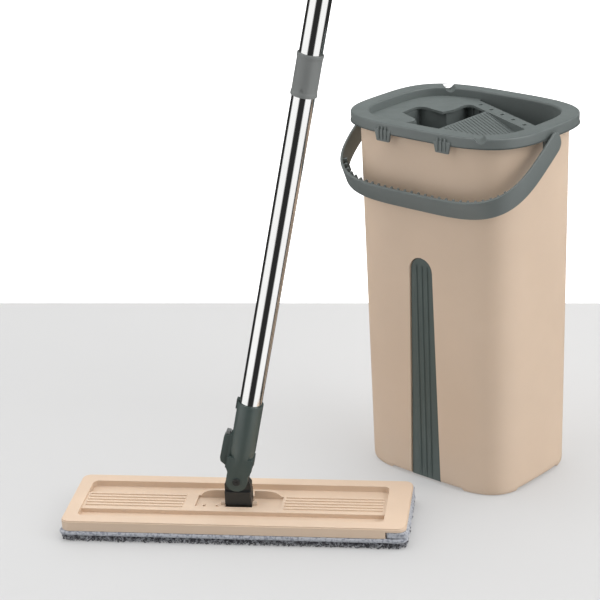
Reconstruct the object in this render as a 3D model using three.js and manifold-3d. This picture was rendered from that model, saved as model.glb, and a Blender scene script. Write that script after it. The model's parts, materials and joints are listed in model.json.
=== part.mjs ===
// Flat mop with its wringer bucket. Millimetres, +Z up.
// The bucket stands at the middle of its own group with its panelled face towards -Y;
// the mop stands beside it, turned by HEAD_YAW, with its pole leaning by POLE_LEAN.

import * as THREE from 'three';
import { mergeVertices } from 'three/addons/utils/BufferGeometryUtils.js';
import Module from 'manifold-3d';

const wasm = await Module();
wasm.setup();

// ---------------------------------------------------------------- driving dimensions

const GAP = 0.3;                      // between pieces that touch
const RUN = 0.35;                     // running clearance round pins and shafts

// Bucket
const BUCKET_HEIGHT = 370;            // moulded body, up to its top edge
const BUCKET_TOP_HALF_X = 96;
const BUCKET_TOP_HALF_Y = 74.3;
const BUCKET_BASE_HALF_X = 92;
const BUCKET_BASE_HALF_Y = 70.8;
const BUCKET_ROUNDNESS = 3.9;         // exponent of the rounded-square plan
const BUCKET_WALL = 2.2;
const BUCKET_FLOOR = 2.5;
const FOOT_HEIGHT = 2.5;
const FOOT_SIDE_X = 44;               // how far each corner foot runs along the sides
const FOOT_SIDE_Y = 34;

// Panel let into the front of the bucket
const PANEL_TOP = 243.5;
const PANEL_TOP_HALF = 13.9;
const PANEL_BASE_HALF = 19;
const PANEL_RECESS = 3.6;
const PANEL_THICKNESS = 1.8;
const PANEL_RIBS = 3;
const PANEL_RIB_WIDTH = 1.6;
const PANEL_RIB_HEIGHT = 0.9;

// Wringer frame that caps the bucket
const FRAME_RISE = 8;                 // rim top above the bucket's top edge
const RIM_HALF_X = 108;
const RIM_HALF_Y = 83.2;
const RIM_ROUNDNESS = 3.4;
const RIM_EDGE = 1.6;                 // rounding of the outer top edge
const RIM_TOP_THICKNESS = 2.8;
const SKIRT_DEPTH = 10.5;
const SKIRT_WALL = 2.2;
const OPEN_HALF_X = 90.8;             // inside of the rim
const OPEN_HALF_Y = 67.5;
const OPEN_ROUNDNESS = 3.6;
const INNER_WALL = 2;
const INNER_WALL_DEPTH = 40;
const DECK_DROP = 9;                  // deck below the rim top
const DECK_THICKNESS = 2.5;
const TAB_OFFSET = 36.2;
const TAB_TOP_WIDTH = 21;
const TAB_TIP_WIDTH = 15;
const TAB_DROP = 8;                   // below the skirt
const REST_NOTCH_RADIUS = 5.6;        // grooves across the rim where the pole is laid
const REST_NOTCH_PLACES = [[73.6, -71.7], [-66, 63]];

// Slot that takes the mop head on edge, and the arm that takes its pole
const SLOT_RIGHT = 2;
const SLOT_WIDTH = 35;
const SLOT_FRONT = -50;
const SLOT_LENGTH = 97;
const SLOT_FLARE = 7;                 // the slot's front end is wider on the left
const ARM_LEFT = -67;
const ARM_FRONT = -22;
const ARM_BACK = 10;

// Diagonal bridge between the board and the well
const BRIDGE_START = [-26, 54.5];     // middle line of the bridge
const BRIDGE_END = [92, 0.5];
const BRIDGE_WIDTH = 14.5;
const BRIDGE_HOLES = 5;
const BRIDGE_HOLE_SIDE = 4;
const BRIDGE_HOLE_FIRST = 9.5;        // along the bridge, from its start
const BRIDGE_HOLE_PITCH = 22;
const BRIDGE_WEB_DEPTH = 9;

// Ribbed board that slopes away from the slot
const BOARD_SLOPE = 0.148;
const BOARD_THICKNESS = 2.4;
const BOARD_FRONT = -40;
const BOARD_RIB_PITCH = 4.5;          // measured along the slot
const BOARD_RIB_WIDTH = 1.5;
const BOARD_RIB_HEIGHT = 0.7;

// Guide and scraper under the slot
const GUIDE_DEPTH = 78;
const GUIDE_WALL = 2;
const GUIDE_FLANGE = 9;
const FLANGE_THICKNESS = 2.4;
const GUIDE_SCREW_DIAMETER = 3;
const GUIDE_SCREW_LENGTH = 8;
const SCRAPER_DROP = 20;              // scraper below the deck
const SCRAPER_HEIGHT = 14;
const SCRAPER_DEPTH = 6;
const LIP_REACH = 4;
const LIP_THICKNESS = 2;

// Bail handle
const BAIL_HALF_SPAN = 111.9;         // middle of the strap, at the pivots
const BAIL_REACH = 98;                // pivots to the middle of the grip
const BAIL_ROUNDNESS = 4.13;
const BAIL_PIVOT_Y = -5;
const BAIL_PIVOT_DROP = 15.5;          // pivots below the rim top
const BAIL_REST_ANGLE = 35;           // degrees below level, at rest
const BAIL_WIDTH = 19.6;
const BAIL_TWIST = 11.3;              // strap leaned out of the square, in degrees
const BAIL_THICKNESS = 2.8;
const BAIL_PIN_DIAMETER = 8;
const BAIL_RIBS = 27;
const BAIL_RIB_REACH = 4;
const BAIL_RIB_THICKNESS = 2.2;
const PIVOT_LUG_WIDTH = 17;
const PIVOT_LUG_DROP = 25;            // below the rim top

// Mop head
const HEAD_PLACE = [-91, -253.6];     // from the middle of the bucket
const HEAD_YAW = 34.44;
const PLATE_LENGTH = 340;
const PLATE_WIDTH = 104;
const PLATE_CORNER = 9;
const PLATE_HEIGHT = 10.6;
const PLATE_EDGE = 1.2;
const TRAY_MARGIN_LEFT = 14;
const TRAY_MARGIN_RIGHT = 23;
const TRAY_MARGIN_SIDE = 14;
const TRAY_DEPTH = 6.2;
const SPINE_HALF = 18;
const SPINE_DROP = 1.8;               // spine below the plate top
const SPINE_MIDDLE = -2;
const SPINE_RIBS = 5;
const SPINE_RIB_HEIGHT = 1.1;
const SPINE_RIB_WIDTH = 3;
const SPINE_RIB_PITCH = 6;
const SPINE_RIBS_MIDDLE = 0.5;
const SPINE_RIB_LENGTH = 98;
const POCKET_HALF_LENGTH = 43;        // recess that holds the swivel block
const POCKET_HALF_WIDTH = 12;
const POCKET_MIDDLE = 2;
const POCKET_DROP = 2.5;              // its floor below the spine
const PIT_FLOOR = 1.6;                // deeper pit under the block, above the plate's underside
const PIT_HALF_WIDTH = 9.8;
const EAR_THICKNESS = 5;
const EAR_RADIUS = 3.4;
const SHIELD_HEIGHT = 6;              // arched wall behind the recess, above the spine
const SHIELD_THICKNESS = 3.4;
const SHIELD_CURVE = 18;              // length of its curved ends
const END_LIP_LENGTH = 20;            // thin lip over the pad's pocket
const END_LIP_THICKNESS = 4;
const PAD_OVERHANG = 1.8;
const BACKING_THICKNESS = 4.2;
const PILE_THICKNESS = 6.4;
const HOOK_STRIP_WIDTH = 22;
const HOOK_STRIP_THICKNESS = 1.2;

// Swivel block and yoke
const TILT_PIN_DIAMETER = 4;
const TILT_AXIS_DROP = 4.5;           // tilt pin below the plate top
const BLOCK_WIDTH = 26;
const BLOCK_DEPTH = 15;
const BLOCK_SHOULDER = 16.5;          // above the tilt pin
const BARREL_RADIUS = 4.1;
const TONGUE_DEPTH = 10;
const SWING_HEIGHT = 29.2;            // swing pivot above the tilt pin
const EYE_RADIUS = 10.6;
const FORK_DEPTH = 20.5;
const SCREW_SHANK = 4;
const SCREW_HEAD = 7.4;
const SOCKET_DIAMETER = 25.4;
const SOCKET_START = 17;              // round part, above the swing pivot
const STEP_HEIGHT = 13;               // chamfered step of the fork's sides
const SOCKET_FADE = 16;               // height over which the round part grows out of the fork
const SOCKET_TOP = 83;
const SOCKET_DEPTH = 46;
const POLE_LEAN = 11.8;

// Latch on the side of the yoke
const LATCH_LENGTH = 34;
const LATCH_WIDTH = 9;
const LATCH_STAND = 8;                // proud of the socket
const LATCH_BOTTOM = 12;              // above the swing pivot
const LATCH_TRAVEL = 6;
const LATCH_STEM = 4;

// Pole
const TUBE_DIAMETER = 22;
const TUBE_WALL = 0.7;
const TUBE_LENGTH = 379;
const TUBES = 3;
const COLLAR_DIAMETER = 25;
const COLLAR_LENGTH = 40;
const PLUG_LENGTH = 56;
const GRIP_DIAMETER = 28;
const GRIP_LENGTH = 130;
const GRIP_OVERLAP = 105;
const EYELET_LENGTH = 34;
const EYELET_HOLE = 11;

const OVAL_STEPS = 56;                // sides of a rounded-square ring
const ROUND_STEPS = 32;               // sides of a round piece

// ---------------------------------------------------------------- derived places

const FRAME_TOP = BUCKET_HEIGHT + FRAME_RISE;
const SKIRT_BOTTOM = FRAME_TOP - SKIRT_DEPTH;
const DECK_TOP = FRAME_TOP - DECK_DROP;
const DECK_BOTTOM = DECK_TOP - DECK_THICKNESS;
const SLOT_LEFT = SLOT_RIGHT - SLOT_WIDTH;
const SLOT_BACK = SLOT_FRONT + SLOT_LENGTH;
const SLOT_MIDDLE = SLOT_FRONT + SLOT_LENGTH / 2;
const TAPER_Y = (BUCKET_TOP_HALF_Y - BUCKET_BASE_HALF_Y) / BUCKET_HEIGHT;
const BAIL_PIVOT_Z = FRAME_TOP - BAIL_PIVOT_DROP;
const PLATE_BOTTOM = PILE_THICKNESS + BACKING_THICKNESS + 2 * GAP;
const PLATE_TOP = PLATE_BOTTOM + PLATE_HEIGHT;
const SPINE_TOP = PLATE_TOP - SPINE_DROP;
const TILT_Z = PLATE_TOP - TILT_AXIS_DROP;

const COLOURS = {
  beige: { color: 0xd9c1ab, roughness: 0.5, metalness: 0 },
  grey: { color: 0x858b89, roughness: 0.5, metalness: 0 },
  dark: { color: 0x454d4b, roughness: 0.45, metalness: 0 },
  steel: { color: 0xc4c4c2, roughness: 0.12, metalness: 1 },
  rubber: { color: 0x2b2e2e, roughness: 0.8, metalness: 0 },
  knit: { color: 0xb9bcc4, roughness: 0.95, metalness: 0 },
  pile: { color: 0x4a4b50, roughness: 1, metalness: 0 },
};

// ---------------------------------------------------------------- general tools

function solid(geometry) {
  const bare = geometry.clone();
  for (const name of Object.keys(bare.attributes)) {
    if (name !== 'position') bare.deleteAttribute(name);
  }
  const merged = mergeVertices(bare, 1e-4);
  const index = merged.index.array;
  const kept = [];
  for (let i = 0; i < index.length; i += 3) {
    const [a, b, c] = [index[i], index[i + 1], index[i + 2]];
    if (a !== b && b !== c && c !== a) kept.push(a, b, c);
  }
  return new wasm.Manifold(new wasm.Mesh({
    numProp: 3,
    vertProperties: Float32Array.from(merged.attributes.position.array),
    triVerts: Uint32Array.from(kept),
  }));
}

function piece(name, shape, material) {
  const mesh = shape.getMesh();
  const geometry = new THREE.BufferGeometry();
  geometry.setAttribute('position', new THREE.BufferAttribute(mesh.vertProperties, 3));
  geometry.setIndex(new THREE.BufferAttribute(mesh.triVerts, 1));
  geometry.computeVertexNormals();
  const result = new THREE.Mesh(geometry, new THREE.MeshStandardMaterial(COLOURS[material]));
  result.name = name;
  return result;
}

function box(x0, x1, y0, y1, z0, z1) {
  const geometry = new THREE.BoxGeometry(x1 - x0, y1 - y0, z1 - z0);
  geometry.translate((x0 + x1) / 2, (y0 + y1) / 2, (z0 + z1) / 2);
  return solid(geometry);
}

// Round bar along an axis ('x', 'y' or 'z') from one end to the other.
function bar(radius, axis, from, to, steps = ROUND_STEPS) {
  const geometry = new THREE.CylinderGeometry(radius, radius, to - from, steps);
  geometry.translate(0, (from + to) / 2, 0);
  if (axis === 'x') geometry.rotateZ(-Math.PI / 2);
  if (axis === 'z') geometry.rotateX(Math.PI / 2);
  return solid(geometry);
}

// Turned piece about Z from an outline of [radius, z] points that closes on itself.
function turned(outline, steps = ROUND_STEPS) {
  const closed = [...outline, outline[0]].map(([r, z]) => new THREE.Vector2(r, z));
  const geometry = new THREE.LatheGeometry(closed, steps);
  geometry.rotateX(Math.PI / 2);
  return outward(solid(geometry));
}

// Turns a shape that came out inside out the right way round.
function outward(shape) {
  if (shape.volume() > 0) return shape;
  const mesh = shape.getMesh();
  const flipped = Uint32Array.from(mesh.triVerts);
  for (let i = 0; i < flipped.length; i += 3) {
    [flipped[i], flipped[i + 1]] = [flipped[i + 1], flipped[i]];
  }
  return new wasm.Manifold(new wasm.Mesh({
    numProp: 3, vertProperties: mesh.vertProperties, triVerts: flipped,
  }));
}

function outlineShape(points) {
  return new THREE.Shape(points.map(([x, y]) => new THREE.Vector2(x, y)));
}

// Upright prism of a plan outline, from z0 to z1.
function prism(shape, z0, z1, curveSegments = 6) {
  const geometry = new THREE.ExtrudeGeometry(shape, {
    depth: z1 - z0, bevelEnabled: false, curveSegments,
  });
  geometry.translate(0, 0, z0);
  return solid(geometry);
}

// Prism of an outline drawn in X and Z, from y0 to y1.
function sidePrism(shape, y0, y1, curveSegments = 6) {
  const geometry = new THREE.ExtrudeGeometry(shape, {
    depth: y1 - y0, bevelEnabled: false, curveSegments,
  });
  geometry.rotateX(Math.PI / 2);
  geometry.translate(0, y1, 0);
  return solid(geometry);
}

function roundedRectangle(x0, x1, y0, y1, radius) {
  const shape = new THREE.Shape();
  shape.moveTo(x0 + radius, y0);
  shape.lineTo(x1 - radius, y0);
  shape.absarc(x1 - radius, y0 + radius, radius, -Math.PI / 2, 0);
  shape.lineTo(x1, y1 - radius);
  shape.absarc(x1 - radius, y1 - radius, radius, 0, Math.PI / 2);
  shape.lineTo(x0 + radius, y1);
  shape.absarc(x0 + radius, y1 - radius, radius, Math.PI / 2, Math.PI);
  shape.lineTo(x0, y0 + radius);
  shape.absarc(x0 + radius, y0 + radius, radius, Math.PI, Math.PI * 1.5);
  return shape;
}

// Points of a rounded-square ring: |x/a|^n + |y/b|^n = 1.
function ovalRing(halfX, halfY, roundness, z) {
  const points = [];
  for (let i = 0; i < OVAL_STEPS; i += 1) {
    const turn = (i / OVAL_STEPS) * Math.PI * 2;
    const c = Math.cos(turn);
    const s = Math.sin(turn);
    const x = halfX * Math.sign(c) * Math.abs(c) ** (2 / roundness);
    const y = halfY * Math.sign(s) * Math.abs(s) ** (2 / roundness);
    points.push(new THREE.Vector3(x, y, z));
  }
  return points;
}

// Closed skin over a stack of rings with equal counts; the ends are closed by fans.
function loft(rings) {
  const count = rings[0].length;
  const positions = [];
  for (const ring of rings) {
    for (const p of ring) positions.push(p.x, p.y, p.z);
  }
  const index = [];
  for (let r = 0; r + 1 < rings.length; r += 1) {
    for (let i = 0; i < count; i += 1) {
      const a = r * count + i;
      const b = r * count + ((i + 1) % count);
      index.push(a, b, b + count, a, b + count, a + count);
    }
  }
  const last = (rings.length - 1) * count;
  for (let i = 1; i + 1 < count; i += 1) {
    index.push(0, i + 1, i, last, last + i, last + i + 1);
  }
  const geometry = new THREE.BufferGeometry();
  geometry.setAttribute('position', new THREE.Float32BufferAttribute(positions, 3));
  geometry.setIndex(index);
  return outward(solid(geometry));
}

// Rounded-square block; each level is [z, inset from the given half sizes].
function ovalBlock(halfX, halfY, roundness, levels) {
  return loft(levels.map(([z, inset]) => ovalRing(halfX - inset, halfY - inset, roundness, z)));
}

function combine(...shapes) {
  return shapes.reduce((sum, shape) => sum.add(shape));
}

function cutAll(shape, ...cutters) {
  return cutters.reduce((left, cutter) => left.subtract(cutter), shape);
}

// ---------------------------------------------------------------- bucket

// The body's half sizes at a height, less an inset.
function bodyRing(z, inset) {
  const share = z / BUCKET_HEIGHT;
  const halfX = BUCKET_BASE_HALF_X + (BUCKET_TOP_HALF_X - BUCKET_BASE_HALF_X) * share - inset;
  const halfY = BUCKET_BASE_HALF_Y + TAPER_Y * z - inset;
  return ovalRing(halfX, halfY, BUCKET_ROUNDNESS, z);
}

// Arched outline of the front panel, grown by an amount on each side.
function panelOutline(grow) {
  const shape = new THREE.Shape();
  const shoulder = PANEL_TOP - PANEL_TOP_HALF;
  shape.moveTo(-PANEL_BASE_HALF - grow, -grow);
  shape.lineTo(PANEL_BASE_HALF + grow, -grow);
  shape.lineTo(PANEL_TOP_HALF + grow, shoulder);
  shape.absarc(0, shoulder, PANEL_TOP_HALF + grow, 0, Math.PI);
  return shape;
}

// A slab of the panel's outline that follows the lean of the bucket's front face.
function panelSlab(grow, inFrom, inTo) {
  const geometry = new THREE.ExtrudeGeometry(panelOutline(grow), {
    depth: inTo - inFrom, bevelEnabled: false, curveSegments: 10,
  });
  geometry.rotateX(Math.PI / 2);
  geometry.translate(0, inTo - BUCKET_BASE_HALF_Y, 0);
  leanWithFace(geometry);
  return solid(geometry);
}

function leanWithFace(geometry) {
  const place = geometry.attributes.position;
  for (let i = 0; i < place.count; i += 1) {
    place.setY(i, place.getY(i) - TAPER_Y * place.getZ(i));
  }
}

function footGaps() {
  const reachX = BUCKET_BASE_HALF_X - FOOT_SIDE_X;
  const reachY = BUCKET_BASE_HALF_Y - FOOT_SIDE_Y;
  const far = BUCKET_TOP_HALF_X * 2;
  return combine(
    box(-reachX, reachX, -far, far, -1, FOOT_HEIGHT),
    box(-far, far, -reachY, reachY, -1, FOOT_HEIGHT),
  );
}

function bucketBody() {
  const innerFloor = FOOT_HEIGHT + BUCKET_FLOOR;
  const outside = loft([bodyRing(0, 3), bodyRing(3, 0.6), bodyRing(6, 0), bodyRing(BUCKET_HEIGHT, 0)]);
  const inside = loft([
    bodyRing(innerFloor, BUCKET_WALL + 3),
    bodyRing(innerFloor + 4, BUCKET_WALL),
    bodyRing(BUCKET_HEIGHT + 5, BUCKET_WALL),
  ]);
  const backing = panelSlab(2.5, 0.8, PANEL_RECESS + BUCKET_WALL).intersect(outside);
  const shell = combine(outside.subtract(inside), backing);
  return piece('bucket_body', cutAll(shell, panelSlab(0, -5, PANEL_RECESS), footGaps()), 'beige');
}

function frontPanel() {
  const face = PANEL_RECESS - GAP - PANEL_THICKNESS;
  const shapes = [panelSlab(-GAP, face, PANEL_RECESS - GAP)];
  const inner = PANEL_TOP_HALF * 2 * 0.72;
  for (let i = 0; i < PANEL_RIBS; i += 1) {
    const x = -inner / 2 + (inner * (i + 0.5)) / PANEL_RIBS;
    const geometry = new THREE.BoxGeometry(PANEL_RIB_WIDTH, PANEL_RIB_HEIGHT + 0.4, PANEL_TOP - 30);
    geometry.translate(x, face - BUCKET_BASE_HALF_Y - PANEL_RIB_HEIGHT / 2 + 0.2, PANEL_TOP / 2 - 4);
    leanWithFace(geometry);
    shapes.push(solid(geometry));
  }
  const floorLine = box(-60, 60, -BUCKET_TOP_HALF_Y * 2, 0, -5, FOOT_HEIGHT);
  return piece('front_panel', combine(...shapes).subtract(floorLine), 'dark');
}

// ---------------------------------------------------------------- wringer frame

// Unit vector along the bridge and the one to its right, in plan.
function bridgeAxes() {
  const along = new THREE.Vector2(BRIDGE_END[0] - BRIDGE_START[0], BRIDGE_END[1] - BRIDGE_START[1]);
  along.normalize();
  return { along, across: new THREE.Vector2(along.y, -along.x) };
}

function bridgePoint(distance, offset) {
  const { along, across } = bridgeAxes();
  return [
    BRIDGE_START[0] + along.x * distance + across.x * offset,
    BRIDGE_START[1] + along.y * distance + across.y * offset,
  ];
}

// Where a line along the bridge, set off to one side, reaches a given X.
function bridgePointAtX(x, offset) {
  const { along, across } = bridgeAxes();
  return bridgePoint((x - BRIDGE_START[0] - across.x * offset) / along.x, offset);
}

// Plan outline of the cross-shaped opening in the deck.
function slotOutline() {
  const shape = new THREE.Shape();
  shape.moveTo(SLOT_RIGHT - 3, SLOT_FRONT + 1.5);
  shape.lineTo(SLOT_RIGHT, SLOT_FRONT + 5);
  shape.lineTo(SLOT_RIGHT, SLOT_BACK - 13);
  shape.quadraticCurveTo(SLOT_RIGHT - 7, SLOT_BACK - 4, SLOT_RIGHT - 17, SLOT_BACK - 2.5);
  shape.lineTo(SLOT_LEFT + 9, SLOT_BACK - 2.5);
  shape.quadraticCurveTo(SLOT_LEFT + 3, SLOT_BACK - 2.5, SLOT_LEFT + 3, SLOT_BACK - 10);
  shape.lineTo(SLOT_LEFT + 4, ARM_BACK + 11);
  shape.lineTo(SLOT_LEFT, ARM_BACK - 2);
  shape.lineTo(SLOT_LEFT - 12, ARM_BACK);
  shape.lineTo(ARM_LEFT + 10, ARM_BACK + 3);
  shape.quadraticCurveTo(ARM_LEFT, ARM_BACK + 2, ARM_LEFT, ARM_BACK - 5);
  shape.lineTo(ARM_LEFT + 1, ARM_FRONT + 6);
  shape.lineTo(SLOT_LEFT - 6, ARM_FRONT - 6);
  shape.lineTo(SLOT_LEFT - 3, ARM_FRONT - 13);
  shape.lineTo(SLOT_LEFT - SLOT_FLARE, SLOT_FRONT + 3);
  return shape;
}

// Plan outline of the ribbed board, between the slot, the bridge and the rim.
function boardOutline(inset) {
  const near = BRIDGE_WIDTH / 2 - 0.5;
  const start = bridgePointAtX(SLOT_RIGHT + inset, near + inset);
  const end = bridgePointAtX(OPEN_HALF_X + 20, near + inset);
  return outlineShape([
    [SLOT_RIGHT + inset, BOARD_FRONT + inset],
    [OPEN_HALF_X + 20, BOARD_FRONT + inset],
    end,
    start,
  ]);
}

// Plan outline of the open well behind the bridge.
function wellOutline() {
  const far = -BRIDGE_WIDTH / 2;
  const start = bridgePoint(-6, far);
  const end = bridgePoint(150, far);
  return outlineShape([start, end, [OPEN_HALF_X * 2, OPEN_HALF_Y * 2], [start[0] - 8, OPEN_HALF_Y * 2]]);
}

// Shears a shape downwards from the slot's right edge with the slope of the board.
function slopeWithBoard(geometry) {
  const place = geometry.attributes.position;
  for (let i = 0; i < place.count; i += 1) {
    place.setZ(i, place.getZ(i) - BOARD_SLOPE * (place.getX(i) - SLOT_RIGHT));
  }
  return solid(geometry);
}

function boardPlate(insideRim) {
  const geometry = new THREE.ExtrudeGeometry(boardOutline(0), {
    depth: BOARD_THICKNESS, bevelEnabled: false,
  });
  geometry.translate(0, 0, DECK_TOP - BOARD_THICKNESS);
  return slopeWithBoard(geometry).intersect(insideRim);
}

// Ribs lie parallel to the bridge and are spaced along the slot.
function boardRibs(insideRim) {
  const { along } = bridgeAxes();
  const turn = Math.atan2(along.y, along.x);
  const ribs = [];
  const length = OPEN_HALF_X * 2;
  for (let y = BOARD_FRONT; y < OPEN_HALF_Y * 2; y += BOARD_RIB_PITCH) {
    const geometry = new THREE.BoxGeometry(length, BOARD_RIB_WIDTH, BOARD_RIB_HEIGHT + 0.5);
    geometry.translate(length / 2, 0, DECK_TOP + BOARD_RIB_HEIGHT / 2 - 0.25);
    geometry.rotateZ(turn);
    geometry.translate(SLOT_RIGHT, y, 0);
    ribs.push(slopeWithBoard(geometry));
  }
  const field = prism(boardOutline(2.2), DECK_TOP - 40, DECK_TOP + 10).intersect(insideRim);
  return combine(...ribs).intersect(field);
}

function bridge(insideRim) {
  const edge = BRIDGE_WIDTH / 2;
  const plan = [[-6, -edge], [150, -edge], [150, edge], [-6, edge]];
  const top = prism(outlineShape(plan.map((p) => bridgePoint(...p))), DECK_BOTTOM, DECK_TOP);
  const webStart = SLOT_RIGHT + GUIDE_WALL + 2;
  const web = prism(outlineShape([
    bridgePointAtX(webStart, edge - 2), bridgePoint(150, edge - 2),
    bridgePoint(150, edge), bridgePointAtX(webStart, edge),
  ]), DECK_TOP - BRIDGE_WEB_DEPTH, DECK_TOP);
  return combine(top, web).intersect(insideRim);
}

function bridgeHoles() {
  const holes = [];
  const half = BRIDGE_HOLE_SIDE / 2;
  for (let i = 0; i < BRIDGE_HOLES; i += 1) {
    const at = BRIDGE_HOLE_FIRST + i * BRIDGE_HOLE_PITCH;
    const plan = [[at - half, -half], [at + half, -half], [at + half, half], [at - half, half]];
    const outline = outlineShape(plan.map((p) => bridgePoint(...p)));
    holes.push(prism(outline, DECK_BOTTOM - 1, DECK_TOP + 1));
  }
  return combine(...holes);
}

// Hollow ring that hooks over the bucket's edge: top, outer skirt and inner wall.
function rimRing() {
  const topUnder = FRAME_TOP - RIM_TOP_THICKNESS;
  const outside = ovalBlock(RIM_HALF_X, RIM_HALF_Y, RIM_ROUNDNESS, [
    [SKIRT_BOTTOM, 0.4], [FRAME_TOP - RIM_EDGE, 0], [FRAME_TOP, RIM_EDGE],
  ]);
  const channel = ovalBlock(RIM_HALF_X - SKIRT_WALL, RIM_HALF_Y - SKIRT_WALL, RIM_ROUNDNESS, [
    [SKIRT_BOTTOM - 5, 0.4], [topUnder, 0],
  ]);
  const wallOutside = ovalBlock(OPEN_HALF_X + INNER_WALL, OPEN_HALF_Y + INNER_WALL, OPEN_ROUNDNESS, [
    [FRAME_TOP - INNER_WALL_DEPTH, 0.6], [FRAME_TOP - 1, 0],
  ]);
  const opening = ovalBlock(OPEN_HALF_X, OPEN_HALF_Y, OPEN_ROUNDNESS, [
    [FRAME_TOP - INNER_WALL_DEPTH - 5, 0.6], [FRAME_TOP - 2, 0], [FRAME_TOP + 1, -1.5],
  ]);
  return combine(outside.subtract(channel), wallOutside).subtract(opening);
}

// Short ribs under the rim that rest on the bucket's edge.
function restRibs() {
  const z0 = BUCKET_HEIGHT + GAP;
  const z1 = FRAME_TOP - 1;
  const ribs = [];
  for (const side of [-1, 1]) {
    for (const x of [-60, 0, 60]) {
      const y = side * (OPEN_HALF_Y + RIM_HALF_Y) / 2;
      ribs.push(box(x - 1, x + 1, y - 7, y + 7, z0, z1));
    }
    const x = side * (OPEN_HALF_X + RIM_HALF_X) / 2;
    for (const y of [-35, 35]) ribs.push(box(x - 7, x + 7, y - 1, y + 1, z0, z1));
  }
  return combine(...ribs);
}

function gripTabs() {
  const tabs = [];
  const topY = RIM_HALF_Y;
  for (const side of [-1, 1]) {
    for (const x of [-TAB_OFFSET, TAB_OFFSET]) {
      const top = SKIRT_BOTTOM + 4;
      const outline = outlineShape([
        [x - TAB_TOP_WIDTH / 2, top], [x - TAB_TIP_WIDTH / 2, SKIRT_BOTTOM - TAB_DROP + 2],
        [x - TAB_TIP_WIDTH / 2 + 2, SKIRT_BOTTOM - TAB_DROP],
        [x + TAB_TIP_WIDTH / 2 - 2, SKIRT_BOTTOM - TAB_DROP],
        [x + TAB_TIP_WIDTH / 2, SKIRT_BOTTOM - TAB_DROP + 2], [x + TAB_TOP_WIDTH / 2, top],
      ]);
      const inner = side > 0 ? topY - 2.6 : -topY;
      tabs.push(sidePrism(outline, inner, inner + 2.6));
      for (const shift of [-4.5, 0, 4.5]) {
        const y = side > 0 ? topY : -topY - 0.8;
        tabs.push(box(x + shift - 0.7, x + shift + 0.7, y - 0.3, y + 1.1,
          SKIRT_BOTTOM - TAB_DROP + 2, FRAME_TOP - 4));
      }
    }
  }
  return combine(...tabs);
}

// Lugs on the two short sides that carry the bail's pins.
function pivotLugs() {
  const half = PIVOT_LUG_WIDTH / 2;
  const lugs = [];
  for (const side of [-1, 1]) {
    const outer = RIM_HALF_X - 0.6;
    const from = side > 0 ? outer - 4 : -outer;
    lugs.push(box(from, from + 4, BAIL_PIVOT_Y - half, BAIL_PIVOT_Y + half,
      FRAME_TOP - PIVOT_LUG_DROP, FRAME_TOP - RIM_EDGE));
  }
  return combine(...lugs);
}

function pinHoles() {
  const hole = bar(BAIL_PIN_DIAMETER / 2 + RUN, 'x', -RIM_HALF_X - 5, RIM_HALF_X + 5, 20);
  const middle = box(-BUCKET_TOP_HALF_X - 2, BUCKET_TOP_HALF_X + 2, -20, 20, -20, 20);
  return hole.subtract(middle).translate([0, BAIL_PIVOT_Y, BAIL_PIVOT_Z]);
}

// Half-round grooves across the rim at two corners, with a filled trough below each.
function restNotches() {
  const troughs = [];
  const grooves = [];
  for (const [x, y] of REST_NOTCH_PLACES) {
    const turn = (Math.atan2(y, x) * 180) / Math.PI;
    const place = [x * 0.93, y * 0.93, 0];
    const groove = bar(REST_NOTCH_RADIUS, 'x', -18, 18, 20).rotate([0, 0, turn]);
    grooves.push(groove.translate([place[0], place[1], FRAME_TOP]));
    const trough = box(-8, 8, -7.5, 7.5, BUCKET_HEIGHT + GAP, FRAME_TOP - 1).rotate([0, 0, turn]);
    troughs.push(trough.translate(place));
  }
  return { troughs: combine(...troughs), grooves: combine(...grooves) };
}

function guideScrewPlaces() {
  const off = GUIDE_WALL + GUIDE_FLANGE / 2 + 0.5;
  return [
    [SLOT_RIGHT + off, SLOT_FRONT + 20],
    [SLOT_RIGHT + off, SLOT_BACK - 20],
    [SLOT_RIGHT - 22, SLOT_FRONT - off],
    [SLOT_RIGHT - 22, SLOT_BACK + off],
  ];
}

const BOSS_BOTTOM = DECK_BOTTOM - 8;

function screwBosses() {
  return combine(...guideScrewPlaces().map(([x, y]) => {
    const fall = BOARD_SLOPE * Math.max(x - SLOT_RIGHT, 0);
    return bar(3.6, 'z', BOSS_BOTTOM, DECK_BOTTOM + 1 - fall, 16).translate([x, y, 0]);
  }));
}

function screwBores() {
  const radius = GUIDE_SCREW_DIAMETER / 2 + GAP;
  return combine(...guideScrewPlaces().map(([x, y]) => (
    bar(radius, 'z', BOSS_BOTTOM - 1, DECK_BOTTOM - 1.6, 16).translate([x, y, 0]))));
}

function wringerFrame() {
  const insideRim = ovalBlock(OPEN_HALF_X + 1, OPEN_HALF_Y + 1, OPEN_ROUNDNESS, [
    [FRAME_TOP - INNER_WALL_DEPTH, 0.6], [FRAME_TOP - 1, 0],
  ]);
  const { troughs, grooves } = restNotches();
  const deckHeight = box(-200, 200, -200, 200, DECK_BOTTOM, DECK_TOP);
  const deck = cutAll(
    insideRim.intersect(deckHeight),
    prism(slotOutline(), DECK_BOTTOM - 5, DECK_TOP + 5),
    prism(wellOutline(), DECK_BOTTOM - 5, DECK_TOP + 5),
    prism(boardOutline(0), DECK_BOTTOM - 5, DECK_TOP + 5),
  );
  const rim = rimRing();
  const hollow = ovalBlock(OPEN_HALF_X, OPEN_HALF_Y, OPEN_ROUNDNESS, [
    [FRAME_TOP - INNER_WALL_DEPTH - 5, 0.6], [FRAME_TOP + 1, -1.5],
  ]);
  const additions = combine(restRibs(), troughs).subtract(hollow);
  const body = combine(
    rim, additions, deck, boardPlate(insideRim), boardRibs(insideRim), bridge(insideRim),
    gripTabs(), pivotLugs(), screwBosses(),
  );
  return piece('wringer_frame', cutAll(body, grooves, bridgeHoles(), pinHoles(), screwBores()), 'grey');
}

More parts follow.
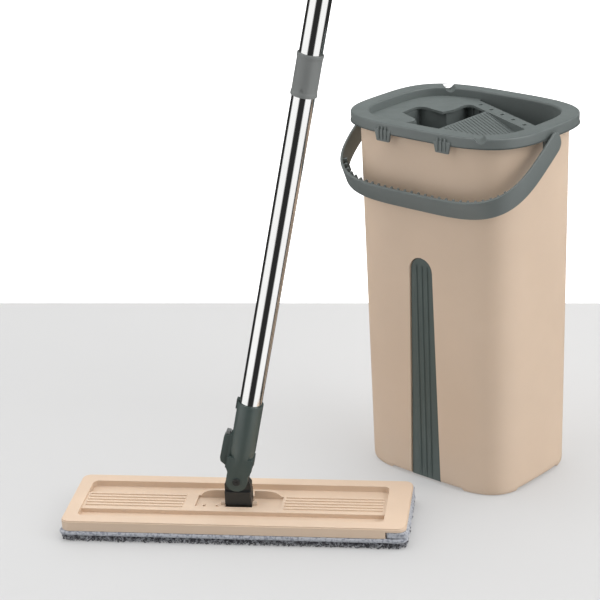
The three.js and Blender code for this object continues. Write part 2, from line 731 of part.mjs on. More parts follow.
// A cross-shaped block the size of the slot and its arm, grown by an amount on each side.
function slotBlock(grow, z0, z1) {
  return combine(
    box(SLOT_LEFT - grow, SLOT_RIGHT + grow, SLOT_FRONT - grow, SLOT_BACK + grow, z0, z1),
    box(ARM_LEFT - grow, SLOT_RIGHT, ARM_FRONT - 2 - grow, ARM_BACK + 4 + grow, z0, z1),
    box(SLOT_LEFT - SLOT_FLARE - 1 - grow, SLOT_RIGHT, SLOT_FRONT - grow, ARM_BACK, z0, z1),
  );
}

// Open-ended guide under the slot, hung from the deck's bosses by its flange.
function slotGuide() {
  const top = DECK_BOTTOM - 2 * GAP;
  const flangeTop = BOSS_BOTTOM - GAP;
  const bottom = top - GUIDE_DEPTH;
  const passage = slotBlock(0, bottom - 1, top + 1);
  const walls = slotBlock(GUIDE_WALL, bottom, top);
  const reach = GUIDE_WALL + GUIDE_FLANGE;
  const flange = box(SLOT_LEFT + 2, SLOT_RIGHT + reach, SLOT_FRONT - reach, SLOT_BACK + reach,
    flangeTop - FLANGE_THICKNESS, flangeTop);
  const holes = combine(...guideScrewPlaces().map(([x, y]) => (
    bar(GUIDE_SCREW_DIAMETER / 2 + GAP, 'z', flangeTop - 4, flangeTop + 2, 16).translate([x, y, 0]))));
  const ribs = [];
  for (const x of [SLOT_LEFT + 9, SLOT_LEFT + 17, SLOT_RIGHT - 9]) {
    ribs.push(box(x - 0.6, x + 0.6, SLOT_BACK - 1.4, SLOT_BACK + 0.5, bottom + 2, top - 1));
  }
  const scraperHoles = combine(...scraperScrewPlaces().map(([y, z]) => (
    bar(GUIDE_SCREW_DIAMETER / 2 + GAP, 'x', SLOT_RIGHT - 1, SLOT_RIGHT + GUIDE_WALL + 1, 16)
      .translate([0, y, z]))));
  const guide = combine(combine(walls, flange).subtract(passage), ...ribs);
  return piece('slot_guide', cutAll(guide, holes, scraperHoles), 'grey');
}

function guideScrew(number, [x, y]) {
  const top = BOSS_BOTTOM - GAP - FLANGE_THICKNESS - GAP;
  const shank = bar(GUIDE_SCREW_DIAMETER / 2, 'z', top - 1, top + GUIDE_SCREW_LENGTH, 16);
  const head = bar(2.9, 'z', top - 2, top, 16);
  const slot = box(-3, 3, -0.4, 0.4, top - 3, top - 1.2);
  const screw = combine(shank, head).subtract(slot).translate([x, y, 0]);
  return piece(`guide_screw_${number}`, screw, 'steel');
}

const SCRAPER_TOP = DECK_BOTTOM - SCRAPER_DROP;

function scraperScrewPlaces() {
  const z = SCRAPER_TOP - SCRAPER_HEIGHT / 2 + 2;
  return [[SLOT_MIDDLE - 34, z], [SLOT_MIDDLE + 34, z]];
}

// Stiff bar on the guide's long wall that carries the rubber lip.
function scraperBar() {
  const x1 = SLOT_RIGHT - GAP;
  const x0 = x1 - SCRAPER_DEPTH;
  const z0 = SCRAPER_TOP - SCRAPER_HEIGHT;
  const half = SLOT_LENGTH / 2 - 2;
  const profile = outlineShape([[x0, z0], [x1, z0 - 5], [x1, SCRAPER_TOP], [x0, SCRAPER_TOP - 5]]);
  const bars = sidePrism(profile, SLOT_MIDDLE - half, SLOT_MIDDLE + half);
  const groove = box(x0 - 1, x0 + 2.6, SLOT_MIDDLE - half - 1, SLOT_MIDDLE + half + 1,
    z0 + 4 - LIP_THICKNESS / 2 - GAP, z0 + 4 + LIP_THICKNESS / 2 + GAP);
  const bores = combine(...scraperScrewPlaces().map(([y, z]) => (
    bar(GUIDE_SCREW_DIAMETER / 2 + GAP, 'x', x1 - 2.6, x1 + 1, 16).translate([0, y, z]))));
  return piece('scraper_bar', cutAll(bars, groove, bores), 'grey');
}

function scraperLip() {
  const x1 = SLOT_RIGHT - GAP - SCRAPER_DEPTH + 2.6 - GAP;
  const z = SCRAPER_TOP - SCRAPER_HEIGHT + 4;
  const half = SLOT_LENGTH / 2 - 2.5;
  const h = LIP_THICKNESS / 2;
  const tip = x1 - 2.3 - LIP_REACH;
  const profile = outlineShape([[tip, z - 0.4], [x1, z - h], [x1, z + h], [tip, z + 0.4]]);
  return piece('scraper_lip', sidePrism(profile, SLOT_MIDDLE - half, SLOT_MIDDLE + half), 'rubber');
}

function scraperScrew(number, [y, z]) {
  const outer = SLOT_RIGHT + GUIDE_WALL + GAP;
  const shank = bar(GUIDE_SCREW_DIAMETER / 2, 'x', SLOT_RIGHT - GAP - 2.2, outer + 1, 16);
  const head = bar(2.8, 'x', outer, outer + 1.8, 16);
  const slot = box(outer + 1, outer + 3, -3, 3, -0.4, 0.4);
  return piece(`scraper_screw_${number}`, combine(shank, head).subtract(slot).translate([0, y, z]), 'steel');
}

// ---------------------------------------------------------------- bail handle

// Point of the strap's middle line and its outward direction, in the bail's own plane:
// X across the bucket, Y away from the pivots.
function bailPoint(turn) {
  const c = Math.cos(turn);
  const s = Math.sin(turn);
  const n = BAIL_ROUNDNESS;
  const x = BAIL_HALF_SPAN * Math.sign(c) * Math.abs(c) ** (2 / n);
  const y = BAIL_REACH * Math.abs(s) ** (2 / n);
  const slopeX = Math.sign(c) * Math.abs(x / BAIL_HALF_SPAN) ** (n - 1) / BAIL_HALF_SPAN;
  const slopeY = Math.abs(y / BAIL_REACH) ** (n - 1) / BAIL_REACH;
  const out = new THREE.Vector2(slopeX, slopeY).normalize();
  return { x, y, out };
}

// Turns evenly spaced in strap length from one pivot to the other.
function bailTurns(count) {
  const fine = 800;
  const lengths = [0];
  let last = bailPoint(0);
  for (let i = 1; i <= fine; i += 1) {
    const next = bailPoint((Math.PI * i) / fine);
    lengths.push(lengths[i - 1] + Math.hypot(next.x - last.x, next.y - last.y));
    last = next;
  }
  const turns = [];
  let at = 0;
  for (let i = 0; i <= count; i += 1) {
    const wanted = (lengths[fine] * i) / count;
    while (at < fine && lengths[at + 1] < wanted) at += 1;
    const part = (wanted - lengths[at]) / Math.max(lengths[at + 1] - lengths[at], 1e-9);
    turns.push((Math.PI * Math.min(at + part, fine)) / fine);
  }
  return turns;
}

// The strap is leaned by BAIL_TWIST, so it isn't square to the bail's plane.
function strapCorner({ x, y, out }, across, outwards) {
  const lean = Math.tan((BAIL_TWIST * Math.PI) / 180);
  return new THREE.Vector3(x + out.x * outwards, y + out.y * outwards + across * lean, across);
}

function strap() {
  const half = BAIL_WIDTH / 2;
  const thick = BAIL_THICKNESS / 2;
  const rings = bailTurns(44).map((turn) => {
    const at = bailPoint(turn);
    return [
      strapCorner(at, -half, -thick), strapCorner(at, -half, thick),
      strapCorner(at, half, thick), strapCorner(at, half, -thick),
    ];
  });
  return loft(rings);
}

function strapEnds() {
  const discs = [];
  for (const side of [-1, 1]) {
    const x = side * BAIL_HALF_SPAN;
    discs.push(bar(BAIL_WIDTH / 2, 'x', x - BAIL_THICKNESS / 2, x + BAIL_THICKNESS / 2, 24));
    const from = side > 0 ? BUCKET_TOP_HALF_X + 4 : -BAIL_HALF_SPAN;
    const to = side > 0 ? BAIL_HALF_SPAN : -BUCKET_TOP_HALF_X - 4;
    discs.push(bar(BAIL_PIN_DIAMETER / 2, 'x', from, to, 20));
  }
  return combine(...discs);
}

function strapRibs() {
  const ribs = [];
  const turns = bailTurns(BAIL_RIBS * 2 - 10);
  for (let i = 9; i < turns.length - 9; i += 1) {
    const at = bailPoint(turns[i]);
    const inner = -BAIL_THICKNESS / 2 - BAIL_RIB_REACH;
    const shape = outlineShape([
      [inner, -BAIL_RIB_THICKNESS / 2], [0, -BAIL_RIB_THICKNESS / 2],
      [0, BAIL_RIB_THICKNESS / 2], [inner, BAIL_RIB_THICKNESS / 2],
    ]);
    const geometry = new THREE.ExtrudeGeometry(shape, { depth: BAIL_WIDTH - 3, bevelEnabled: false });
    geometry.translate(0, 0, -BAIL_WIDTH / 2 + 2);
    geometry.rotateZ(Math.atan2(at.out.y, at.out.x));
    geometry.translate(at.x, at.y, 0);
    const place = geometry.attributes.position;
    const lean = Math.tan((BAIL_TWIST * Math.PI) / 180);
    for (let k = 0; k < place.count; k += 1) {
      place.setY(k, place.getY(k) + place.getZ(k) * lean);
    }
    ribs.push(solid(geometry));
  }
  return combine(...ribs);
}

function bailHandle() {
  const shape = combine(strap(), strapEnds(), strapRibs());
  const handle = piece('bail_handle', shape, 'grey');
  handle.position.set(0, BAIL_PIVOT_Y, BAIL_PIVOT_Z);
  handle.rotation.x = THREE.MathUtils.degToRad(180 + BAIL_REST_ANGLE);
  return handle;
}

// ---------------------------------------------------------------- mop head

function headPlate() {
  const halfL = PLATE_LENGTH / 2;
  const halfW = PLATE_WIDTH / 2;
  const outline = (inset) => roundedRectangle(-halfL + inset, halfL - inset,
    -halfW + inset, halfW - inset, PLATE_CORNER - inset);
  const slab = combine(
    prism(outline(0), PLATE_BOTTOM, PLATE_TOP - PLATE_EDGE),
    prism(outline(PLATE_EDGE * 0.6), PLATE_TOP - PLATE_EDGE - 0.5, PLATE_TOP),
  ).subtract(box(halfL - END_LIP_LENGTH, halfL + 1, -halfW - 1, halfW + 1,
    PLATE_BOTTOM - 1, PLATE_TOP - END_LIP_THICKNESS));
  const trayX0 = -halfL + TRAY_MARGIN_LEFT;
  const trayX1 = halfL - TRAY_MARGIN_RIGHT;
  const tray = prism(roundedRectangle(trayX0, trayX1, -halfW + TRAY_MARGIN_SIDE,
    halfW - TRAY_MARGIN_SIDE, 6), PLATE_TOP - TRAY_DEPTH, PLATE_TOP + 1);
  const spine = box(trayX0 - 1, trayX1 + 1, SPINE_MIDDLE - SPINE_HALF, SPINE_MIDDLE + SPINE_HALF,
    PLATE_BOTTOM + 1, SPINE_TOP);
  const pocket = box(-POCKET_HALF_LENGTH, POCKET_HALF_LENGTH, POCKET_MIDDLE - POCKET_HALF_WIDTH,
    POCKET_MIDDLE + POCKET_HALF_WIDTH, SPINE_TOP - POCKET_DROP, PLATE_TOP + 20);
  const pitLength = BLOCK_WIDTH / 2 + 2 * GAP;
  const pit = box(-pitLength, pitLength, POCKET_MIDDLE - PIT_HALF_WIDTH,
    POCKET_MIDDLE + PIT_HALF_WIDTH, PLATE_BOTTOM + PIT_FLOOR, PLATE_TOP);
  const body = combine(slab.subtract(tray), spine, spineRibs(trayX0, trayX1), shield());
  const strips = combine(hookStripShape(-1, GAP), hookStripShape(1, GAP));
  const shape = cutAll(combine(cutAll(body, pocket, pit), pinEars(), pocketPegs()), tiltPinBore(), strips);
  return piece('head_plate', shape, 'beige');
}

function spineRibs(trayX0, trayX1) {
  const ribs = [];
  const half = SPINE_RIB_WIDTH / 2;
  for (let i = 0; i < SPINE_RIBS; i += 1) {
    const y = SPINE_RIBS_MIDDLE + (i - (SPINE_RIBS - 1) / 2) * SPINE_RIB_PITCH;
    for (const x of [trayX0 + 3, trayX1 - 3 - SPINE_RIB_LENGTH]) {
      ribs.push(box(x, x + SPINE_RIB_LENGTH, y - half, y + half,
        SPINE_TOP - 0.5, SPINE_TOP + SPINE_RIB_HEIGHT));
    }
  }
  return combine(...ribs);
}

// Arched wall along the back of the recess, with a gap the width of the swivel block.
function shield() {
  const y0 = POCKET_MIDDLE + POCKET_HALF_WIDTH;
  const bottom = PLATE_TOP - TRAY_DEPTH - 1;
  const top = SPINE_TOP + SHIELD_HEIGHT;
  const shape = new THREE.Shape();
  shape.moveTo(-POCKET_HALF_LENGTH, bottom);
  shape.lineTo(POCKET_HALF_LENGTH, bottom);
  shape.quadraticCurveTo(POCKET_HALF_LENGTH - 2, top, POCKET_HALF_LENGTH - SHIELD_CURVE, top);
  shape.lineTo(-POCKET_HALF_LENGTH + SHIELD_CURVE, top);
  shape.quadraticCurveTo(-POCKET_HALF_LENGTH + 2, top, -POCKET_HALF_LENGTH, bottom);
  const wall = sidePrism(shape, y0, y0 + SHIELD_THICKNESS);
  const half = BLOCK_WIDTH / 2 + 2 * GAP;
  return wall.subtract(box(-half, half, y0 - 1, y0 + SHIELD_THICKNESS + 1, SPINE_TOP, top + 1));
}

// Ears each side of the block that hold the tilt pin.
function pinEars() {
  const ears = [];
  for (const side of [-1, 1]) {
    const near = BLOCK_WIDTH / 2 + GAP;
    const x0 = side > 0 ? near : -near - EAR_THICKNESS;
    const ear = new THREE.Shape();
    ear.moveTo(POCKET_MIDDLE - 6, PLATE_BOTTOM + 1);
    ear.lineTo(POCKET_MIDDLE + 6, PLATE_BOTTOM + 1);
    ear.lineTo(POCKET_MIDDLE + EAR_RADIUS, TILT_Z);
    ear.absarc(POCKET_MIDDLE, TILT_Z, EAR_RADIUS, 0, Math.PI);
    const geometry = new THREE.ExtrudeGeometry(ear, {
      depth: EAR_THICKNESS, bevelEnabled: false, curveSegments: 8,
    });
    geometry.rotateX(Math.PI / 2);
    geometry.rotateZ(Math.PI / 2);
    geometry.translate(x0, 0, 0);
    ears.push(solid(geometry));
  }
  return combine(...ears);
}

function pocketPegs() {
  const pegs = [-34, -21].map((x) => bar(1.5, 'z', PLATE_BOTTOM + 1, SPINE_TOP + 1, 12)
    .translate([x, POCKET_MIDDLE - POCKET_HALF_WIDTH + 3, 0]));
  return combine(...pegs);
}

function tiltPinBore() {
  return bar(TILT_PIN_DIAMETER / 2 + GAP, 'x', -BLOCK_WIDTH / 2 - 4, BLOCK_WIDTH / 2 + 4, 16)
    .translate([0, POCKET_MIDDLE, TILT_Z]);
}

function tiltPin() {
  const half = BLOCK_WIDTH / 2 + 3.6;
  const pin = bar(TILT_PIN_DIAMETER / 2, 'x', -half, half, 16);
  return piece('tilt_pin', pin.translate([0, POCKET_MIDDLE, TILT_Z]), 'steel');
}

function hookStripShape(side, grow) {
  const y = side * (PLATE_WIDTH / 2 - HOOK_STRIP_WIDTH / 2 - 8);
  const half = HOOK_STRIP_WIDTH / 2 + grow;
  const length = PLATE_LENGTH / 2 - 30 + grow;
  return box(-length, length, y - half, y + half, PLATE_BOTTOM - 1 + (grow ? 0 : 1 + GAP),
    PLATE_BOTTOM + HOOK_STRIP_THICKNESS + (grow ? GAP : 0));
}

// Pocket of the pad that the plate's thin end lip slides over.
function padPocket() {
  const halfL = PLATE_LENGTH / 2;
  const halfW = PLATE_WIDTH / 2;
  const outline = roundedRectangle(halfL - END_LIP_LENGTH + GAP, halfL + 1, -halfW, halfW, 4);
  const top = PLATE_TOP - END_LIP_THICKNESS - GAP;
  return piece('pad_pocket', prism(outline, PLATE_BOTTOM, top), 'knit');
}

function padLayer(name, z0, z1, overhang, material) {
  const halfL = PLATE_LENGTH / 2 + overhang;
  const halfW = PLATE_WIDTH / 2 + overhang;
  const outline = roundedRectangle(-halfL, halfL, -halfW, halfW, PLATE_CORNER + overhang);
  return piece(name, prism(outline, z0, z1), material);
}

// ---------------------------------------------------------------- swivel block and yoke

// Block frame: origin on the tilt pin.
function swivelBlock() {
  const halfX = BLOCK_WIDTH / 2;
  const halfY = BLOCK_DEPTH / 2;
  const lower = box(-halfX, halfX, -halfY, halfY, 3, BLOCK_SHOULDER);
  const barrel = bar(BARREL_RADIUS, 'x', -halfX, halfX, 20);
  const neck = box(-halfX, halfX, -BARREL_RADIUS, BARREL_RADIUS, 0, 4);
  const tongue = new THREE.Shape();
  tongue.moveTo(-halfX, BLOCK_SHOULDER - 2);
  tongue.lineTo(halfX, BLOCK_SHOULDER - 2);
  tongue.lineTo(halfX, SWING_HEIGHT - 5);
  tongue.absarc(0, SWING_HEIGHT, EYE_RADIUS - 1, 0, Math.PI);
  tongue.lineTo(-halfX, SWING_HEIGHT - 5);
  const top = sidePrism(tongue, -TONGUE_DEPTH / 2, TONGUE_DEPTH / 2);
  const tiltBore = bar(TILT_PIN_DIAMETER / 2 + RUN, 'x', -halfX - 1, halfX + 1, 16);
  const swingBore = bar(SCREW_SHANK / 2 + RUN, 'y', -halfY * 2, halfY * 2, 16)
    .translate([0, 0, SWING_HEIGHT]);
  return piece('swivel_block', cutAll(combine(lower, barrel, neck, top), tiltBore, swingBore), 'dark');
}

// Yoke frame: origin on the swing pivot, +Z along the pole.
function yoke() {
  const r = SOCKET_DIAMETER / 2;
  const d = FORK_DEPTH / 2;
  const fork = new THREE.Shape();
  fork.moveTo(-EYE_RADIUS, 0);
  fork.absarc(0, 0, EYE_RADIUS, Math.PI, Math.PI * 2);
  fork.lineTo(EYE_RADIUS, STEP_HEIGHT - 4);
  fork.lineTo(r, STEP_HEIGHT);
  fork.lineTo(r, SOCKET_START + 8);
  fork.lineTo(-r, SOCKET_START + 8);
  fork.lineTo(-r, STEP_HEIGHT);
  fork.lineTo(-EYE_RADIUS, STEP_HEIGHT - 4);
  const cheeks = sidePrism(fork, -d, d, 8);
  const socket = turned([
    [0, SOCKET_START - 2], [d, SOCKET_START - 2], [r, SOCKET_START + SOCKET_FADE],
    [r, SOCKET_TOP], [0, SOCKET_TOP],
  ]);
  const lip = box(-r - 1, -r + 2, -3, 3, SOCKET_TOP - 8, SOCKET_TOP + 2.2);
  const channel = box(-r - 1.4, -r + 4, -LATCH_WIDTH / 2 - 1.6, LATCH_WIDTH / 2 + 1.6,
    LATCH_BOTTOM - 1, LATCH_BOTTOM + LATCH_LENGTH + 1.5);
  const forkGap = TONGUE_DEPTH / 2 + RUN;
  const crotch = box(-r * 2, r * 2, -forkGap, forkGap, -EYE_RADIUS * 2, SOCKET_START - 2);
  const bore = bar(TUBE_DIAMETER / 2 + GAP, 'z', SOCKET_TOP - SOCKET_DEPTH, SOCKET_TOP + 5);
  const screwBore = bar(SCREW_SHANK / 2 + GAP, 'y', -d * 2, d * 2, 16);
  const body = combine(cheeks, socket, channel.subtract(bar(r - 0.5, 'z', 0, SOCKET_TOP)), lip);
  return piece('yoke', cutAll(body, crotch, bore, screwBore, latchGroove()), 'dark');
}

// Groove in the yoke's side in which the latch runs.
function latchGroove() {
  const r = SOCKET_DIAMETER / 2;
  const half = LATCH_STEM / 2 + RUN;
  const top = LATCH_BOTTOM + LATCH_LENGTH - 4;
  const head = box(-r * 2, -r - 0.2, -LATCH_WIDTH / 2 - RUN, LATCH_WIDTH / 2 + RUN,
    LATCH_BOTTOM - LATCH_TRAVEL - 1, LATCH_BOTTOM + LATCH_LENGTH + GAP);
  const stem = box(-r - 1, -r + 2.8, -half, half, LATCH_BOTTOM - LATCH_TRAVEL + 3, top);
  return combine(head, stem);
}

function latchButton() {
  const r = SOCKET_DIAMETER / 2;
  const outer = -r - LATCH_STAND;
  const inner = -r - 0.2 - GAP;
  const top = LATCH_BOTTOM + LATCH_LENGTH;
  const outline = outlineShape([
    [inner, LATCH_BOTTOM], [inner, top], [outer + 2, top], [outer + 0.6, top - 2],
    [outer, LATCH_BOTTOM + 8], [outer + 1.2, LATCH_BOTTOM + 4],
  ]);
  const pad = sidePrism(outline, -LATCH_WIDTH / 2, LATCH_WIDTH / 2);
  const z = LATCH_BOTTOM + LATCH_LENGTH * 0.45;
  const stem = box(inner - 1, -r + 1, -LATCH_STEM / 2, LATCH_STEM / 2, z - 3, z + 3);
  return piece('latch_button', combine(pad, stem), 'dark');
}

function latchTip() {
  const r = SOCKET_DIAMETER / 2;
  const top = LATCH_BOTTOM + LATCH_LENGTH + GAP;
  const tip = box(-r - LATCH_STAND + 2, -r - 1.4 - GAP, 
    -LATCH_WIDTH / 2 + 1, LATCH_WIDTH / 2 - 1, top, top + 3.4);
  return piece('latch_tip', tip, 'grey');
}

function swingScrew() {
  const d = FORK_DEPTH / 2 + GAP;
  const shank = bar(SCREW_SHANK / 2, 'y', -d - 0.8, d + 0.8, 16);
  const head = bar(SCREW_HEAD / 2, 'y', -d - 1.4, -d, 20);
  const star = combine(
    box(-1.6, 1.6, -d - 3, -d - 0.7, -0.35, 0.35),
    box(-0.35, 0.35, -d - 3, -d - 0.7, -1.6, 1.6),
  );
  return piece('swing_screw', combine(shank, head).subtract(star), 'dark');
}

function swingNut() {
  const d = FORK_DEPTH / 2 + GAP;
  const nut = bar(3.8, 'y', d, d + 2.4, 6).subtract(bar(SCREW_SHANK / 2 + GAP, 'y', d - 1, d + 4, 16));
  return piece('swing_nut', nut, 'steel');
}

// ---------------------------------------------------------------- pole

function tubeStart(number) {
  return SOCKET_TOP - SOCKET_DEPTH + GAP + (number - 1) * (TUBE_LENGTH + GAP);
}

function poleTube(number) {
  const z0 = tubeStart(number);
  const z1 = z0 + TUBE_LENGTH;
  const r = TUBE_DIAMETER / 2;
  const outline = [[r - TUBE_WALL, z0], [r, z0], [r, z1], [r - TUBE_WALL, z1]];
  return piece(`pole_tube_${number}`, turned(outline), 'steel');
}

function collar(number) {
  const middle = tubeStart(number + 1);
  const half = COLLAR_LENGTH / 2;
  const inner = TUBE_DIAMETER / 2 + GAP;
  const outer = COLLAR_DIAMETER / 2;
  const outline = [
    [inner, middle - half], [outer - 0.8, middle - half], [outer, middle - half + 0.8],
    [outer, middle + half - 0.8], [outer - 0.8, middle + half], [inner, middle + half],
  ];
  const dimple = bar(1.6, 'y', -outer - 1, -outer + 0.9, 12).translate([-1, 0, middle - half + 6.5]);
  return piece(`pole_collar_${number}`, turned(outline).subtract(dimple), 'grey');
}

// Plastic plug inside the two tubes that meet in a collar.
function jointPlug(number) {
  const middle = tubeStart(number + 1);
  const r = TUBE_DIAMETER / 2 - TUBE_WALL - GAP;
  const half = PLUG_LENGTH / 2;
  const outline = [[4, middle - half], [r - 1, middle - half], [r, middle - half + 1],
    [r, middle + half - 1], [r - 1, middle + half], [4, middle + half]];
  return piece(`joint_plug_${number}`, turned(outline, 24), 'dark');
}

function poleGrip() {
  const tubeEnd = tubeStart(TUBES) + TUBE_LENGTH;
  const z0 = tubeEnd - GRIP_OVERLAP;
  const z1 = z0 + GRIP_LENGTH;
  const r = GRIP_DIAMETER / 2;
  const bore = TUBE_DIAMETER / 2 + GAP;
  const outline = [
    [bore, z0], [r - 1.4, z0], [r - 0.2, z0 + 1.6], [r, z0 + 6], [r - 1, z0 + 30], [r - 1, z1 - 40],
    [r, z1 - 8], [r - 0.8, z1 - 1], [r - 2, z1], [6, z1], [6, z1 - 8], [bore, z1 - 8],
  ];
  return piece('pole_grip', turned(outline), 'dark');
}

// Flat eye pushed into the end of the grip, to hang the mop by.
function hangingEye() {
  const z1 = tubeStart(TUBES) + TUBE_LENGTH - GRIP_OVERLAP + GRIP_LENGTH;
  const half = 10;
  const shape = new THREE.Shape();
  const top = z1 + EYELET_LENGTH;
  shape.moveTo(-half, z1 + GAP);
  shape.lineTo(half, z1 + GAP);
  shape.lineTo(half, top - half);
  shape.absarc(0, top - half, half, 0, Math.PI);
  const eye = sidePrism(shape, -3, 3, 10);
  const hole = bar(EYELET_HOLE / 2, 'y', -10, 10, 20).translate([0, 0, top - half]);
  const stem = bar(6 - GAP, 'z', z1 - 7, z1 + 2, 20);
  return piece('hanging_eye', combine(eye, stem).subtract(hole), 'grey');
}

// ---------------------------------------------------------------- assembly

function bucketGroup() {
  const group = new THREE.Group();
  group.add(bucketBody(), frontPanel(), wringerFrame(), slotGuide(), scraperBar(), scraperLip());
  guideScrewPlaces().forEach((place, i) => group.add(guideScrew(i + 1, place)));
  scraperScrewPlaces().forEach(([y, z], i) => group.add(scraperScrew(i + 1, [y, z])));
  group.add(bailHandle());
  return group;
}

function poleGroup() {
  const group = new THREE.Group();
  group.add(yoke(), swingScrew(), swingNut(), latchButton(), latchTip());
  for (let i = 1; i <= TUBES; i += 1) group.add(poleTube(i));
  for (let i = 1; i < TUBES; i += 1) group.add(collar(i), jointPlug(i));
  group.add(poleGrip(), hangingEye());
  group.position.set(0, 0, SWING_HEIGHT);
  group.rotation.y = THREE.MathUtils.degToRad(POLE_LEAN);
  return group;
}

function mopGroup() {
  const block = new THREE.Group();
  block.position.set(0, POCKET_MIDDLE, TILT_Z);
  block.add(swivelBlock(), poleGroup());
  const group = new THREE.Group();
  group.add(headPlate(), tiltPin(), block);
  group.add(piece('hook_strip_front', hookStripShape(-1, 0), 'dark'));
  group.add(piece('hook_strip_back', hookStripShape(1, 0), 'dark'));
  group.add(padPocket());
  group.add(padLayer('pad_backing', PILE_THICKNESS + GAP, PILE_THICKNESS + GAP + BACKING_THICKNESS,
    PAD_OVERHANG, 'knit'));
  group.add(padLayer('pad_pile', 0, PILE_THICKNESS, PAD_OVERHANG - 0.5, 'pile'));
  group.position.set(HEAD_PLACE[0], HEAD_PLACE[1], 0);
  group.rotation.z = THREE.MathUtils.degToRad(HEAD_YAW);
  return group;
}

const mopAndBucket = new THREE.Group();
mopAndBucket.add(bucketGroup(), mopGroup());

// The part's origin is the middle of its overall box, on the floor.
const overall = new THREE.Box3().setFromObject(mopAndBucket, true);
const middle = overall.getCenter(new THREE.Vector3());
for (const half of mopAndBucket.children) {
  half.position.x -= middle.x;
  half.position.y -= middle.y;
}

export default mopAndBucket;
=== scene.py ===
"""Looks for a flat mop and its wringer bucket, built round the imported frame."""

import json
import math

import bmesh
import bpy
import numpy as np
from bpy.props import FloatProperty, FloatVectorProperty, IntProperty
from bpy.types import Operator, Panel, PropertyGroup
from mathutils import Euler, Matrix, Vector


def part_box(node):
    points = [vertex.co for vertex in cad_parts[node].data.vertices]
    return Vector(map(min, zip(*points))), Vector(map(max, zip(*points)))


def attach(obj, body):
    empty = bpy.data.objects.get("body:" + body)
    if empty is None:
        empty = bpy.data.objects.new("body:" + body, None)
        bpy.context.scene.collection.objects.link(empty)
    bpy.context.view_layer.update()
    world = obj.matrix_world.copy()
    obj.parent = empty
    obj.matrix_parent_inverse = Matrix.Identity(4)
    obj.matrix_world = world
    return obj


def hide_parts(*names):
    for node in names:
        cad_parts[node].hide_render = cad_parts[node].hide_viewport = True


bl_info = {
    "name": "Flat mop and wringer bucket",
    "version": (1, 0, 0),
    "blender": (4, 5, 0),
    "location": "View3D > Sidebar > Mop and bucket",
    "description": "Builds the visible pieces of a flat mop and its wringer bucket",
    "category": "Object",
}

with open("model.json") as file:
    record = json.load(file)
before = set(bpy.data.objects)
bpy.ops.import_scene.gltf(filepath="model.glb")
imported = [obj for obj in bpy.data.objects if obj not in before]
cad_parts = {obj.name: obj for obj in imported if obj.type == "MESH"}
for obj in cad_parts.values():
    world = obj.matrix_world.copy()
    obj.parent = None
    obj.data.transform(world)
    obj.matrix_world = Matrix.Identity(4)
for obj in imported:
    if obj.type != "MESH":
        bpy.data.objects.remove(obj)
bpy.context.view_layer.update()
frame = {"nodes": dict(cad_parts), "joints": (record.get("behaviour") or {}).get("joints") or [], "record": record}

MM = 0.001
JOINTS = {joint["name"]: joint for joint in frame["joints"]}
MOUNTS = {mount["name"]: mount for mount in frame["record"]["mounts"]}
NODES = frame["nodes"]


# ------------------------------------------------------------------ places in the frame

def node_points(node):
    """A CAD node's corners in the shared frame."""
    mesh = NODES[node].data
    points = np.empty(len(mesh.vertices) * 3, np.float32)
    mesh.vertices.foreach_get("co", points)
    return points.reshape(-1, 3).astype(float)


class Place:
    """A right-handed set of axes at a point, with ways in and out of it."""

    def __init__(self, origin, x_axis, z_axis):
        self.origin = np.array(origin, float)
        z = np.array(z_axis, float)
        z /= np.linalg.norm(z)
        x = np.array(x_axis, float)
        x -= z * x.dot(z)
        x /= np.linalg.norm(x)
        self.axes = np.array([x, np.cross(z, x), z])

    def out(self, points):
        """Points given in these axes, in the shared frame."""
        return np.asarray(points, float) @ self.axes + self.origin

    def span(self, node):
        """Lowest and highest corner of a CAD node in these axes."""
        local = (node_points(node) - self.origin) @ self.axes.T
        return local.min(0), local.max(0)


def bucket_place():
    low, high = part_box("bucket_body")
    return Place([(low.x + high.x) / 2, (low.y + high.y) / 2, 0], (1, 0, 0), (0, 0, 1))


def head_place():
    along = JOINTS["head_tilt"]["axis"]
    return Place(MOUNTS["pad_underside"]["pos_m"], along, (0, 0, 1))


def pole_place():
    pole = -np.array(JOINTS["latch_slide"]["axis"], float)
    across = np.array(JOINTS["pole_swing"]["axis"], float)
    return Place(JOINTS["pole_swing"]["pos_m"], np.cross(across, pole), pole)


BUCKET = bucket_place()
HEAD = head_place()
POLE = pole_place()
HEAD_TURN = math.atan2(HEAD.axes[0][1], HEAD.axes[0][0])
FRAME_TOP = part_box("wringer_frame")[1].z


# ------------------------------------------------------------------ settings

class MopBucketSizes(PropertyGroup):
    """Sizes that shape the visible pieces."""

    body_wall: FloatProperty(
        name="Bucket wall", description="Thickness of the bucket's side",
        default=2.2 * MM, min=0.001, unit="LENGTH")
    panel_ribs: IntProperty(
        name="Panel ribs", description="Upright ribs on the front panel", default=3, min=0)
    rim_rounding: FloatProperty(
        name="Rim rounding", description="Radius of the rim's outer top edge",
        default=2.0 * MM, min=0.0005, unit="LENGTH")
    moulded_edge: FloatProperty(
        name="Moulded edge", description="Rounding of moulded edges",
        default=0.55 * MM, min=0.0001, unit="LENGTH")
    bail_ribs: IntProperty(
        name="Bail ribs", description="Cross ribs inside the bail's grip", default=27, min=0)
    pile_loops: IntProperty(
        name="Pile loops", description="Yarn loops along the pad's long side", default=110, min=10)
    pile_rows: IntProperty(
        name="Pile rows", description="Rows of yarn loops under the pad's edge", default=4, min=1)


